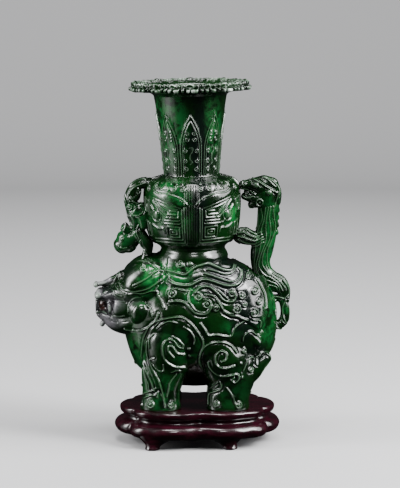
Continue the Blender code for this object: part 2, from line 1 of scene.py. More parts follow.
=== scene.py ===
"""Looks of a green stone beast that carries a vase on its back, on a lobed rosewood stand.

Sizes are in millimetres, in the frame of the solids: x runs from the beast's nose to its tail, y away from
the shown side, z up from the table, and the origin lies on the table under the vase. Every visible surface is
worked out as numpy arrays and turned to metres when it becomes a mesh. A flank, a small figure, the neck and
the bulb each have a flat chart, in which their carved lines are drawn; a line's height then pushes the skin
out along its normals.
"""

import logging
import math
from collections.abc import Sequence
from dataclasses import dataclass
from enum import Enum

import bpy
import numpy as np
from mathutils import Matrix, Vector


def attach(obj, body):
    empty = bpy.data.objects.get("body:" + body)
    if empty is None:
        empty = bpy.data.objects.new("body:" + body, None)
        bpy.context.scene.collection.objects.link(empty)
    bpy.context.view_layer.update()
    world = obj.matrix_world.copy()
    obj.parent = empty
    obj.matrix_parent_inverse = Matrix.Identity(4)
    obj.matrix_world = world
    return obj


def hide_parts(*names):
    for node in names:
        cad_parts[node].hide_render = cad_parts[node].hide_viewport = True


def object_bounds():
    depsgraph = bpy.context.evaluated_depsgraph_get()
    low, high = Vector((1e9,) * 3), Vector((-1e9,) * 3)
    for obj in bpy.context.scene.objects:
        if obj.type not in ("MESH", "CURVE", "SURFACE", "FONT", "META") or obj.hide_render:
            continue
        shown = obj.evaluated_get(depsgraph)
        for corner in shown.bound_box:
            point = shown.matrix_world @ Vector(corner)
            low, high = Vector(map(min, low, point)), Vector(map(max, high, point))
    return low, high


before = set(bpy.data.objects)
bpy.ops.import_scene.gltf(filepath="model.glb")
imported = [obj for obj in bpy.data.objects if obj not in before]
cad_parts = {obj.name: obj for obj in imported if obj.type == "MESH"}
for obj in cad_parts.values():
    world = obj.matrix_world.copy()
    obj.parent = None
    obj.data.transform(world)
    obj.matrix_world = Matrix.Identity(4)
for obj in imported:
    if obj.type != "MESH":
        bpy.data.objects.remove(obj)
CAD_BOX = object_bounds()

Array = np.ndarray
Rows = Sequence[Sequence[float]]
Place = tuple[float, float, float]
Colour = tuple[float, float, float, float]
# Where a smooth rise starts and where it ends
Rise = tuple[float, float]

MM = 0.001
SIDES = (-1, 1)
CARVING_NODE = "beast_vase_carving"
STAND_NODE = "wooden_stand"
# The mesh attribute that holds every point's share of a line's crest, where the stone gets a painted
# highlight
CREST = "crest"
STAND_TOP = 26.0
SOLE = 26.1
# Points given for each row of a stroke, an outline and a limb
STROKE_STEPS = 6
OUTLINE_STEPS = 5
LIMB_STEPS = 7
# The power that flattens a cord's crest
CREST_POWER = 0.8
# The trough beside a raised line: where it starts and how far it reaches, in half widths of the line, and its
# depth as a share of the line's height
TROUGH_START = 0.8
TROUGH_REACH = 2.3
TROUGH_DEPTH = 0.35
# A curl: points of its spiral, radius of the spiral's inner end, of the bead and of the dome as shares of the
# curl's radius, and the dome's height as a share of the line's
SPIRAL_POINTS = 36
SPIRAL_END = 0.35
BEAD_RADIUS = 0.36
DOME_RADIUS = 1.35
DOME_HEIGHT = 0.45
# Radius of the dot in a ring as a share of the ring's, and how much of a crest a boss shows
DOT_RADIUS = 0.4
BOSS_CREST = 0.8
# A limb: points around it, its least half size, and the angles of the rows that round off its ends
LIMB_SIDES = 40
LEAST_HALF = 0.4
END_DEGREES = (25, 48, 66, 80)
TINY = 1e-9

log = logging.getLogger("scene")


# ---------------------------------------------------------------------------------------------------------
# Lines


def smooth_rows(rows: Rows, count: int) -> Array:
    """Read rows of numbers at even steps along a Catmull-Rom curve.

    Each span is a cubic through its two rows, whose slopes are half the step between the rows beside them.

    Args:
        rows: Rows that the curve passes through.
        count: Number of rows to return.

    Returns:
        An array of that many rows.
    """
    rows = np.asarray(rows, float)
    padded = np.vstack([2 * rows[0] - rows[1], rows, 2 * rows[-1] - rows[-2]])
    at = np.linspace(0, len(rows) - 1, count)
    start = np.minimum(at.astype(int), len(rows) - 2)
    u = (at - start)[:, None]
    a, b, c, d = (padded[start + k] for k in range(4))
    bend = 2 * a - 5 * b + 4 * c - d
    return 0.5 * (2 * b + (c - a) * u + bend * u**2 + (3 * b - a - 3 * c + d) * u**3)


def even_rows(rows: Array, step: float) -> Array:
    """Read rows at even steps of length along the straight runs between them.

    Args:
        rows: Points of a line, one a row.
        step: Length between two returned points.

    Returns:
        The points, from the first row to the last.
    """
    run = np.concatenate([[0], np.cumsum(np.linalg.norm(np.diff(rows, axis=0), axis=1))])
    at = np.linspace(0, run[-1], max(2, int(round(run[-1] / step)) + 1))
    return np.stack([np.interp(at, run, column) for column in rows.T], axis=1)


def spiral_line(centre: Sequence[float], outer: float, inner: float, start: float, turn: float) -> Array:
    """Points along a spiral whose radius shrinks evenly with its angle.

    Args:
        centre: The spiral's middle in its chart.
        outer: Radius at the start.
        inner: Radius at the end.
        start: Start angle in degrees.
        turn: Angle turned through, in degrees.

    Returns:
        The spiral's points.
    """
    share = np.linspace(0, 1, SPIRAL_POINTS)
    angle = np.radians(start + turn * share)
    radius = outer + (inner - outer) * share
    return np.stack([centre[0] + radius * np.cos(angle), centre[1] + radius * np.sin(angle)], axis=1)


def smooth_step(value: Array, low: float, high: float) -> Array:
    """Rise from 0 at low to 1 at high along 3 t squared minus 2 t cubed."""
    t = np.clip((value - low) / (high - low), 0, 1)
    return t * t * (3 - 2 * t)


class Weight(Enum):
    """Half width and height of a carved line."""

    ROPE = (1.1, 1.15)
    THICK = (0.85, 1.0)
    MEDIUM = (0.72, 0.85)
    FINE = (0.58, 0.7)
    HAIR = (0.48, 0.45)


class Cut(Enum):
    """Which way a carved line goes from the skin: out for a cord, in for a groove."""

    CORD = 1
    GROOVE = -1


@dataclass(frozen=True)
class Stroke:
    """One carved line.

    Args:
        points: Its points in the chart.
        weight: How wide and how high it is.
        cut: Whether it stands out or is sunk.
        straight: Whether its points are joined by straight runs.
    """

    points: Rows
    weight: Weight = Weight.MEDIUM
    cut: Cut = Cut.CORD
    straight: bool = False

    def line(self) -> Array:
        """The stroke's points, smoothed unless it is straight."""
        points = np.asarray(self.points, float)
        return points if self.straight or len(points) < 3 else smooth_rows(points, STROKE_STEPS * len(points))


def strokes(
    weight: Weight, *runs: Rows, cut: Cut = Cut.CORD, straight: bool = False
) -> tuple[Stroke, ...]:
    """Strokes of one weight, one for each run of points."""
    return tuple(Stroke(run, weight, cut, straight) for run in runs)


@dataclass(frozen=True)
class Curl:
    """A spiral curl with a bead in its eye: middle, radius, start angle and turn in degrees."""

    x: float
    z: float
    radius: float = 2.6
    start: float = 90.0
    turn: float = -450.0
    weight: Weight = Weight.MEDIUM


@dataclass(frozen=True)
class Boss:
    """A round boss: middle, radius and height."""

    x: float
    z: float
    radius: float
    height: float


@dataclass(frozen=True)
class Ring:
    """A small ring with a dot in its middle."""

    x: float
    z: float
    radius: float
    weight: Weight = Weight.HAIR


@dataclass(frozen=True)
class Plate:
    """A raised field with its outline, its height and the width of its sloping edge."""

    outline: Rows
    height: float
    slope: float


Shape = Stroke | Curl | Boss | Ring | Plate


class Relief:
    """Heights over a skin, drawn in a flat chart: fields add up, and of the cords the highest one shows.

    Crests tell how near each spot is to the top of a line, which is where the stone's finish paints a pale
    highlight.
    """

    def __init__(self, across: Array, up: Array) -> None:
        """Start with a flat chart.

        Args:
            across: Every skin point's first chart coordinate.
            up: Its second.
        """
        self.spots = np.column_stack([across, up])
        self.fields = np.zeros(len(across))
        self.cords = np.zeros(len(across))
        self.grooves = np.zeros(len(across))
        self.crests = np.zeros(len(across))

    def near(self, line: Array, reach: float) -> tuple[Array, Array]:
        """Find the spots within reach of a line.

        Args:
            line: The line's points.
            reach: Farthest distance that counts.

        Returns:
            The indices of the spots in the line's neighbourhood, and their distances from it.
        """
        low, high = line.min(0) - reach, line.max(0) + reach
        index = np.flatnonzero(((self.spots > low) & (self.spots < high)).all(1))
        spots = self.spots[index]
        gap = np.full(len(index), reach)
        for start, end in zip(line[:-1], line[1:]):
            box_low, box_high = np.minimum(start, end) - reach, np.maximum(start, end) + reach
            some = np.flatnonzero(((spots > box_low) & (spots < box_high)).all(1))
            run = end - start
            offset = spots[some] - start
            share = np.clip(offset @ run / max(run @ run, TINY), 0, 1)
            gap[some] = np.minimum(gap[some], np.linalg.norm(offset - share[:, None] * run, axis=1))
        return index, gap

    def stroke(self, stroke: Stroke) -> None:
        """Draw a line whose section is half of 1 + cos(pi d / half width), to the power 0.8.

        A cord lies in a shallow trough, which is what the carver took away on both sides of it.
        """
        half, height = stroke.weight.value
        index, gap = self.near(stroke.line(), TROUGH_REACH * half)
        share = (0.5 + 0.5 * np.cos(math.pi * np.minimum(gap / half, 1))) ** CREST_POWER
        if stroke.cut is Cut.GROOVE:
            self.grooves[index] = np.maximum(self.grooves[index], height * share)
            return
        beside = (gap / half - TROUGH_START) / (TROUGH_REACH - TROUGH_START)
        trough = np.sin(math.pi * np.clip(beside, 0, 1))
        self.grooves[index] = np.maximum(self.grooves[index], TROUGH_DEPTH * height * trough)
        self.cords[index] = np.maximum(self.cords[index], height * share)
        self.crests[index] = np.maximum(self.crests[index], share)

    def curl(self, curl: Curl) -> None:
        """Draw a curl: its spiral, the bead in its eye, and a low dome that carries both."""
        radius, height = curl.radius, curl.weight.value[1]
        line = spiral_line((curl.x, curl.z), radius, SPIRAL_END * radius, curl.start, curl.turn)
        self.stroke(Stroke(line, curl.weight, straight=True))
        self.boss(Boss(curl.x, curl.z, BEAD_RADIUS * radius, height), self.cords)
        self.boss(Boss(curl.x, curl.z, DOME_RADIUS * radius, DOME_HEIGHT * height), self.fields)

    def boss(self, boss: Boss, layer: Array) -> None:
        """Draw a boss whose height falls as the square root of 1 minus the squared distance.

        Args:
            boss: The boss.
            layer: The layer it is drawn in. It adds to the fields, and shows among the cords where it is
                higher than they are.
        """
        gap = np.hypot(self.spots[:, 0] - boss.x, self.spots[:, 1] - boss.z) / boss.radius
        rise = boss.height * np.sqrt(np.clip(1 - gap**2, 0, 1))
        if layer is self.fields:
            layer += rise
        else:
            np.maximum(layer, rise, out=layer)
            np.maximum(self.crests, BOSS_CREST * rise / boss.height, out=self.crests)

    def ring(self, ring: Ring) -> None:
        """Draw a round ring and its dot."""
        half, height = ring.weight.value
        gap = np.abs(np.hypot(self.spots[:, 0] - ring.x, self.spots[:, 1] - ring.z) - ring.radius) / half
        share = 0.5 + 0.5 * np.cos(math.pi * np.minimum(gap, 1))
        np.maximum(self.cords, height * share, out=self.cords)
        np.maximum(self.crests, share, out=self.crests)
        self.boss(Boss(ring.x, ring.z, DOT_RADIUS * ring.radius, height), self.cords)

    def inside(self, outline: Array) -> Array:
        """Tell which spots lie inside a closed outline, by the parity of the edges crossed beside them."""
        found = np.zeros(len(self.spots), bool)
        x, z = self.spots.T
        for (ax, az), (bx, bz) in zip(outline, np.roll(outline, -1, axis=0)):
            crosses = (az > z) != (bz > z)
            climb = bz - az if bz != az else TINY
            found ^= crosses & (x < ax + (z - az) * (bx - ax) / climb)
        return found

    def plate(self, plate: Plate) -> None:
        """Raise the field inside an outline, rounded off over its slope along a quarter sine."""
        outline = smooth_rows((*plate.outline, plate.outline[0]), OUTLINE_STEPS * len(plate.outline))
        index, gap = self.near(outline, plate.slope)
        reach = np.full(len(self.spots), plate.slope)
        reach[index] = gap
        rise = plate.height * np.sin(reach / plate.slope * math.pi / 2)
        self.fields += np.where(self.inside(outline), rise, 0)

    def draw(self, shapes: Sequence[Shape]) -> "Relief":
        """Draw shapes in turn, and return the relief."""
        for shape in shapes:
            match shape:
                case Stroke():
                    self.stroke(shape)
                case Curl():
                    self.curl(shape)
                case Boss():
                    self.boss(shape, self.cords)
                case Ring():
                    self.ring(shape)
                case Plate():
                    self.plate(shape)
        return self

    def carving(self) -> Array:
        """Two rows: every spot's height, its troughs covered where cords cross, and its share of a crest."""
        return np.stack([self.fields + self.cords - self.grooves * (1 - self.crests), self.crests])


# ---------------------------------------------------------------------------------------------------------
# Skins


def make_mesh(name: str, points: Array, quads: Array, triangles: Array | None = None) -> bpy.types.Mesh:
    """Put points and faces into a mesh.

    Args:
        name: The mesh's name.
        points: Points in millimetres.
        quads: Four corners a face.
        triangles: Three corners a face, where the mesh has any.

    Returns:
        The mesh, in metres.
    """
    triangles = np.empty((0, 3), int) if triangles is None else triangles
    corners = np.concatenate([quads.ravel(), triangles.ravel()]).astype(np.int32)
    sizes = np.concatenate([np.full(len(quads), 4), np.full(len(triangles), 3)])
    mesh = bpy.data.meshes.new(name)
    mesh.vertices.add(len(points))
    mesh.vertices.foreach_set("co", (points * MM).ravel())
    mesh.loops.add(len(corners))
    mesh.loops.foreach_set("vertex_index", corners)
    mesh.polygons.add(len(sizes))
    mesh.polygons.foreach_set("loop_start", np.concatenate([[0], np.cumsum(sizes)[:-1]]).astype(np.int32))
    mesh.update(calc_edges=True)
    return mesh


def link(name: str, mesh: bpy.types.Mesh) -> bpy.types.Object:
    """Link a mesh into the scene as an object at the origin."""
    obj = bpy.data.objects.new(name, mesh)
    bpy.context.scene.collection.objects.link(obj)
    return obj


def evaluated(obj: bpy.types.Object) -> bpy.types.Mesh:
    """A new mesh with the object's modifiers applied."""
    bpy.context.view_layer.update()
    graph = bpy.context.evaluated_depsgraph_get()
    return bpy.data.meshes.new_from_object(obj.evaluated_get(graph))


def grid_quads(rows: int, around: int) -> Array:
    """Faces of a grid of closed rows, facing outwards where the rows climb and the angle grows."""
    low = np.arange(rows - 1)[:, None] * around
    here = np.arange(around)[None, :]
    after = (here + 1) % around
    corners = [low + here, low + after, low + around + after, low + around + here]
    return np.stack(corners, axis=2).reshape(-1, 4)


class Shells:
    """Closed shells gathered into one mesh."""

    def __init__(self) -> None:
        """Start with none."""
        self.points: list[Array] = []
        self.quads: list[Array] = []
        self.triangles: list[Array] = []
        self.count = 0

    def add_rings(self, rings: Array) -> None:
        """Add a closed tube through rings of points, with a fan at each end.

        Args:
            rings: Points as rows, around, and x, y, z.
        """
        rows, around, _ = rings.shape
        first, size = self.count, rows * around
        ends = np.array([rings[0].mean(0), rings[-1].mean(0)])
        self.points += [rings.reshape(-1, 3), ends]
        self.quads.append(grid_quads(rows, around) + first)
        here, last = np.arange(around), size - around
        after = (here + 1) % around
        foot = np.stack([np.full(around, size), after, here], axis=1)
        head = np.stack([np.full(around, size + 1), last + here, last + after], axis=1)
        self.triangles += [foot + first, head + first]
        self.count += size + 2

    def limb(self, rows: Rows, side: int = 1, dome: float = 0.8) -> None:
        """Add a shell along a path: an ellipse at each step, square to the path, and a dome at each end.

        Args:
            rows: x, y, z, half thickness and half width of each section.
            side: -1 mirrors the shell about the middle plane.
            dome: How far each dome reaches, as a share of its end's thickness.
        """
        path = smooth_rows(rows, LIMB_STEPS * len(rows))
        path[:, 3:] = np.maximum(path[:, 3:], LEAST_HALF)
        if dome:
            path = self._domed(path, dome)
        run = np.gradient(path[:, :3], axis=0)
        run /= np.linalg.norm(run, axis=1)[:, None]
        out = np.cross(run, (0.0, 1.0, 0.0))
        out /= np.linalg.norm(out, axis=1)[:, None]
        across = np.cross(out, run)
        angle = np.linspace(0, 2 * math.pi, LIMB_SIDES, endpoint=False)[None, :, None]
        thick = np.cos(angle) * (out * path[:, 3:4])[:, None]
        wide = np.sin(angle) * (across * path[:, 4:5])[:, None]
        rings = path[:, None, :3] + thick + wide
        self.add_rings(rings[:, ::-1] * (1, -1, 1) if side < 0 else rings)

    def limbs(self, middle: Sequence[Rows], paired: Sequence[Rows]) -> None:
        """Add limbs on the middle plane once, and paired limbs on both sides of it."""
        for rows in middle:
            self.limb(rows)
        for side in SIDES:
            for rows in paired:
                self.limb(rows, side)

    @staticmethod
    def _domed(path: Array, share: float) -> Array:
        """The path with rows added past each end, along a quarter circle."""
        angles = np.radians(END_DEGREES)[:, None]
        parts = []
        for end, before in ((path[0], path[1]), (path[-1], path[-2])):
            run = end[:3] - before[:3]
            run /= np.linalg.norm(run)
            reach = share * min(end[3], end[4])
            parts.append(np.hstack([end[:3] + np.sin(angles) * reach * run, np.cos(angles) * end[3:]]))
        return np.vstack([parts[0][::-1], path, parts[1]])

    def to_mesh(self, name: str) -> bpy.types.Mesh:
        """The shells as one mesh."""
        return make_mesh(name, np.vstack(self.points), np.vstack(self.quads), np.vstack(self.triangles))


@dataclass
class Skin:
    """A closed skin: its points in millimetres, their outward normals and its faces."""

    points: Array
    normals: Array
    quads: Array
    triangles: Array

    @classmethod
    def of_mesh(cls, mesh: bpy.types.Mesh) -> "Skin":
        """Read a mesh's points, normals and faces as arrays, and remove the mesh."""
        points = np.empty(3 * len(mesh.vertices))
        normals = np.empty(3 * len(mesh.vertices))
        corners = np.empty(len(mesh.loops), np.int32)
        sizes = np.empty(len(mesh.polygons), np.int32)
        starts = np.empty(len(mesh.polygons), np.int32)
        mesh.vertices.foreach_get("co", points)
        mesh.vertex_normals.foreach_get("vector", normals)
        mesh.loops.foreach_get("vertex_index", corners)
        mesh.polygons.foreach_get("loop_total", sizes)
        mesh.polygons.foreach_get("loop_start", starts)
        bpy.data.meshes.remove(mesh)
        quads = corners[starts[sizes == 4][:, None] + np.arange(4)]
        triangles = corners[starts[sizes == 3][:, None] + np.arange(3)]
        return cls(points.reshape(-1, 3) / MM, normals.reshape(-1, 3), quads, triangles)

    @classmethod
    def fused(cls, shells: Shells, voxel: float, passes: int) -> "Skin":
        """Fuse closed shells into one skin by a voxel remesh, and melt its steps by smoothing.

        Args:
            shells: The shells.
            voxel: The remesh's cell in millimetres.
            passes: Smoothing passes at half strength.

        Returns:
            The fused skin.
        """
        obj = link("masses", shells.to_mesh("masses"))
        fuse = obj.modifiers.new("fuse", "REMESH")
        fuse.mode = "VOXEL"
        fuse.voxel_size = voxel * MM
        melt = obj.modifiers.new("melt", "SMOOTH")
        melt.factor = 0.5
        melt.iterations = passes
        mesh = evaluated(obj)
        bpy.data.objects.remove(obj)
        return cls.of_mesh(mesh)

    def move(self, matrix: Array, pivot: Place, place: Place) -> None:
        """Turn the skin about a pivot, and set the pivot down at its place."""
        self.points = (self.points - pivot) @ matrix.T + place
        self.normals = self.normals @ matrix.T


def finish_piece(name: str, skin: Skin, carving: Array, most: int) -> bpy.types.Object:
    """Turn a carved skin into a piece of the visual model, thinned to its limit of triangles.

    Args:
        name: The piece's name.
        skin: The skin before its relief.
        carving: How far each point is pushed out along its normal, and its share of a line's crest.
        most: The most triangles that the piece may have.

    Returns:
        The piece, which rides on the root body.
    """
    low, high = (np.array(corner) / MM for corner in CAD_BOX)
    points = np.clip(skin.points + skin.normals * carving[0][:, None], low, high)
    mesh = make_mesh(name, points, skin.quads, skin.triangles)
    layer = mesh.attributes.new(CREST, "FLOAT", "POINT")
    layer.data.foreach_set("value", carving[1].astype(np.float32))
    mesh.shade_smooth()
    obj = link(name, mesh)
    count = 2 * len(skin.quads) + len(skin.triangles)
    if count > most:
        thin = obj.modifiers.new("thin", "DECIMATE")
        thin.ratio = most / count
        fewer = evaluated(obj)
        obj.modifiers.clear()
        obj.data = fewer
        bpy.data.meshes.remove(mesh)
        fewer.name = name
    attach(obj, "root")
    log.info("%s: %d triangles", name, min(count, most))
    return obj


class Maker:
    """What makes one piece: every maker builds its mesh in its own way, and dresses it in a finish."""

    def dress(self, piece: bpy.types.Object, finish: bpy.types.Material) -> None:
        """Give the built piece its finish."""
        piece.data.materials.append(finish)


# ---------------------------------------------------------------------------------------------------------
# The vase


@dataclass(frozen=True)
class Vase(Maker):
    """The hollow vase: a bulb in bronze-vessel panels, a neck in pointed leaves and a cloud-edged rim.

    Its own turned surface is a grid of rows and angles, carved while it stands upright, then tipped a little
    towards the beast's head and set down.
    """

    centre_x: float = 1.6
    lean_from: float = 135.0
    lean_degrees: float = 1.0
    # Distance between rows on the outside, and its multiples on the lip and down the inside
    step: float = 0.34
    lip_steps: float = 0.9
    inside_steps: float = 3.4
    # Points along each of the three curves before they are read at those distances
    outside_points: int = 200
    edge_points: int = 120
    inside_points: int = 80
    around: int = 900
    most: int = 195_000
    rim_height: float = 252.8
    rim_radius: float = 42.8
    bulb_radius: float = 33.0
    neck_foot: float = 188.0
    leaves: int = 8
    outside: Rows = (
        (22, 122), (24.4, 130), (23.8, 133.6), (22.4, 136.4), (23.4, 138.8), (27.4, 142), (30.6, 148),
        (32.2, 156), (33, 166), (33, 175), (32, 181), (29.2, 184.4), (24, 186.4), (19.6, 188.2),
        (19.4, 193), (20.6, 206), (22.4, 222), (24.8, 240), (26.6, 244.4), (32, 246.2),
    )
    edge: Rows = (
        (38, -6.4), (41.2, -6.2), (42.5, -5.4), (42.7, -4.4), (41.9, -3.5), (40.0, -2.9), (40.2, -2.3),
        (41.3, -1.3), (40.9, -0.3), (38.8, 0.3), (36, -0.4), (32, -1.2), (28, -3),
    )
    inside: Rows = (
        (24.6, 246.6), (20.6, 240), (17.2, 220), (15.2, 202), (14.8, 190), (18.8, 184), (24, 177),
        (25.8, 166), (24.8, 156), (19, 148.4), (8, 145.6),
    )
    # Lobes of the rim's edge in each group: middle and half width in degrees, and reach
    lobes: Rows = (
        (0, 4.8, 1.0), (7.4, 2.2, 0.8), (12, 2.2, 0.85), (18.4, 3.8, 0.9), (24.6, 2.1, 0.75),
        (30, 2.6, 0.85),
    )
    lobe_group: float = 36.0
    lobe_depth: float = 3.4
    lobe_drop: float = 2.6
    # The radii between which the lobes set in, the lowest level that has any, the levels between which the
    # lower tier gives way to the upper, and the lower tier's shift in degrees. Levels are from the rim's top.
    lobe_rise: Rise = (33, 41)
    lobe_limit: float = -7
    tier_rise: Rise = (-3.4, -2.4)
    tier_shift: float = 4.5
    # Cloud lines on the rim's top: distance in from its edge, and shift in degrees
    cloud_lines: Rows = ((2.2, 0.0), (5.4, 4.0), (8.4, 0.0))
    # Their half width and height, how far they follow the lobes, and the levels where the top sets in and is
    # full, which lies a little sunk between them
    cloud_half: float = 0.8
    cloud_height: float = 0.9
    cloud_follow: float = 0.8
    top_rise: Rise = (-3.2, -2.0)
    top_sink: float = 0.35
    # Beads on the rim's side: the levels where their band sets in and where it ends, its width, the reach
    # that a lobe needs, and their height
    bead_rise: Rise = (-6.2, -5.2)
    bead_fall: Rise = (-4, -3.2)
    bead_band: float = 5
    bead_reach: Rise = (0.55, 0.9)
    bead_height: float = 0.4

    leaf: tuple[Shape, ...] = (
        Plate(((-1, 189), (6.6, 189), (6.9, 200), (7, 211), (5.4, 219), (2.6, 226), (-1, 231)), 0.35, 0.6),
        Stroke(((6.6, 189), (6.9, 200), (7, 211), (5.4, 219), (2.6, 226), (0, 230.5)), Weight.FINE),
        Stroke(((5.2, 191), (5.4, 200), (5.5, 210), (4, 217.5), (1.7, 223.5), (0, 226.5)), Weight.HAIR),
        Ring(2.4, 218, 1.15), Ring(2.4, 213.8, 1.15), Ring(3.9, 206, 1.1), Ring(3.9, 199, 1.1),
        Ring(3.4, 193.4, 1.2),
    )
    leaf_scroll: Stroke = Stroke(
        ((-1.4, 208), (0.8, 208.6), (1.3, 206.4), (-0.6, 203.4), (-0.9, 200.6), (0.9, 198.4),
         (-0.8, 196.6)), Weight.HAIR,
    )
    panel: tuple[Shape, ...] = (
        Plate(((-2, 142.4), (4.6, 142.4), (4.6, 184), (-2, 184)), 0.9, 0.7),
        Plate(((49, 142.4), (54, 142.4), (54, 184), (49, 184)), 0.9, 0.7),
        Plate(
            ((3, 171), (6, 174.2), (10.6, 176.4), (18, 178.2), (25, 178.4), (31, 180), (31, 174.4),
             (21, 171.6), (7.6, 168.2)), 1.0, 1.4,
        ),
        *strokes(
            Weight.FINE,
            ((2.7, 170.6), (6, 174), (10.6, 176.2), (18, 178), (25, 178), (30.6, 180)),
            ((7.6, 168), (21, 171.8), (30.6, 174.4)),
            ((33.6, 156), (27.6, 153.6), (22, 153.6), (20.6, 150.6)),
        ),
        Stroke(((10, 166.8), (21, 169.4), (27.5, 172.2)), Weight.HAIR),
        *strokes(
            Weight.FINE,
            ((35, 143.8), (5.4, 143.8), (5.4, 168)), ((34, 146), (6.9, 146), (6.9, 167)),
            ((9, 147.8), (18.6, 147.8), (18.6, 155), (9, 155), (9, 147.8)), ((8.6, 157.2), (21, 157.2)),
            ((9, 159.3), (20.4, 159.3)), ((9.4, 165.6), (9.4, 161.4), (19.8, 161.4)),
            ((11.4, 163.6), (19, 163.6)), ((27, 172.4), (19.3, 165.6)), ((29, 173.6), (17.2, 162)),
            ((31.4, 172.6), (18.7, 160.4)), ((33.6, 169), (22.4, 157)),
            ((37, 147), (37, 156), (42, 158), (42, 150), (47, 150)),
            ((39.4, 147), (44.6, 147), (44.6, 154)),
            ((37, 162), (37, 172), (44, 174), (44, 164), (40.4, 164), (40.4, 169)),
            straight=True,
        ),
        *strokes(
            Weight.HAIR,
            ((11, 149.8), (16.4, 149.8), (16.4, 153), (11, 153), (11, 149.8)),
            ((12.6, 151.4), (14.8, 151.4)), ((11, 166), (16, 166)),
            ((17, 180), (20.4, 184), (24, 180.4), (17, 180)),
            straight=True,
        ),
        *strokes(
            Weight.FINE,
            ((0.8, 144), (0.8, 183)), ((2.4, 144), (2.4, 183)),
            cut=Cut.GROOVE, straight=True,
        ),
        Stroke(((4, 144), (4, 183)), Weight.HAIR, cut=Cut.GROOVE, straight=True),
        Boss(27.6, 162.6, 3.6, 1.9), Ring(27.6, 162.6, 4.6, Weight.FINE),
        Curl(5.8, 180.6, 1.8, weight=Weight.HAIR), Curl(12.2, 181, 1.8, weight=Weight.HAIR),
        Curl(30, 182.6, 1.8, weight=Weight.HAIR), Curl(38, 180, 2, weight=Weight.HAIR),
    )
    studs: int = 44
    stud: Boss = Boss(0, 184.6, 0.8, 0.3)

    def build(self) -> bpy.types.Object:
        """Build the carved vase.

        Returns:
            The vase's piece.
        """
        step, around = ((self.step, self.around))
        outer = even_rows(smooth_rows(self.outside, self.outside_points), step)
        edge = np.asarray(self.edge) + (0, self.rim_height)
        lip = even_rows(smooth_rows(edge, self.edge_points), self.lip_steps * step)
        inner = even_rows(smooth_rows(self.inside, self.inside_points), self.inside_steps * step)
        rows = np.vstack([outer, lip, inner])
        angle = np.linspace(0, 2 * math.pi, around, endpoint=False)[None, :]
        radius, height = self._rim(rows[:, :1], rows[:, 1:], angle)
        shells = Shells()
        shells.add_rings(np.stack([radius * np.cos(angle), radius * np.sin(angle), height], axis=2))
        skin = Skin.of_mesh(shells.to_mesh("upright"))
        turn = np.arctan2(skin.points[:, 1], skin.points[:, 0])
        carved = np.zeros((2, len(skin.points)))
        wall = slice(0, len(outer) * around)
        carved[:, wall] = self._wall_relief(turn[wall], skin.points[wall])
        crown = slice(len(outer) * around, (len(outer) + len(lip)) * around)
        carved[:, crown] = self._crown_relief(turn[crown], skin.points[crown])
        tip = math.radians(-self.lean_degrees)
        cos, sin = math.cos(tip), math.sin(tip)
        matrix = np.array(((cos, 0, sin), (0, 1, 0), (-sin, 0, cos)))
        skin.move(matrix, (0, 0, self.lean_from), (self.centre_x, 0, self.lean_from))
        return finish_piece("vase", skin, carved, self.most)

    def _rim(self, radius: Array, height: Array, angle: Array) -> tuple[Array, Array]:
        """Draw the rim's edge in between its lobes, which grow towards the edge.

        Args:
            radius: Radius of each row.
            height: Height of each row.
            angle: Angle of each column.

        Returns:
            Radius and height of every grid point.
        """
        drop = height - self.rim_height
        share = smooth_step(radius, *self.lobe_rise) * (drop > self.lobe_limit)
        upper = smooth_step(drop, *self.tier_rise)
        reach = upper * self.lobed(angle, 0.0) + (1 - upper) * self.lobed(angle, self.tier_shift)
        away = share * self.lobe_depth * (1 - reach)
        lift = share * (2 * upper - 1) * self.lobe_drop * (1 - reach)
        return radius - away, height - lift

    def lobed(self, angle: Array, shift: float) -> Array:
        """The rim's reach at each angle: the highest of half circles over its lobes, shifted by degrees."""
        place = np.degrees(angle) + 90 - shift
        found = np.zeros_like(angle)
        for middle, half, reach in self.lobes:
            off = np.mod(place - middle + self.lobe_group / 2, self.lobe_group) - self.lobe_group / 2
            found = np.maximum(found, reach * np.sqrt(np.clip(1 - (off / half) ** 2, 0, 1)))
        return found

    def _wall_relief(self, turn: Array, points: Array) -> Array:
        """Heights of the leaves on the neck and the panels on the bulb.

        Args:
            turn: Angle of each point, with the front at -90 degrees.
            points: The upright points.

        Returns:
            The height of each point, and its share of a crest.
        """
        z = points[:, 2]
        radius = np.hypot(points[:, 0], points[:, 1])
        step = 2 * math.pi / self.leaves
        off = np.mod(turn + math.pi / 2 + step / 2, step) - step / 2
        across = off * radius
        leaf = Relief(np.abs(across), z).draw(self.leaf)
        scroll = Relief(across, z).draw((self.leaf_scroll,))
        neck = np.maximum(leaf.carving(), scroll.carving())
        half_turn = np.abs(np.mod(turn + math.pi, math.pi) - math.pi / 2) * self.bulb_radius
        bulb = Relief(half_turn, z).draw(self.panel)
        pitch = 2 * math.pi / self.studs
        studs = Relief((np.mod(turn, pitch) - pitch / 2) * radius, z).draw((self.stud,))
        return np.where(z > self.neck_foot, neck, np.maximum(bulb.carving(), studs.carving()))

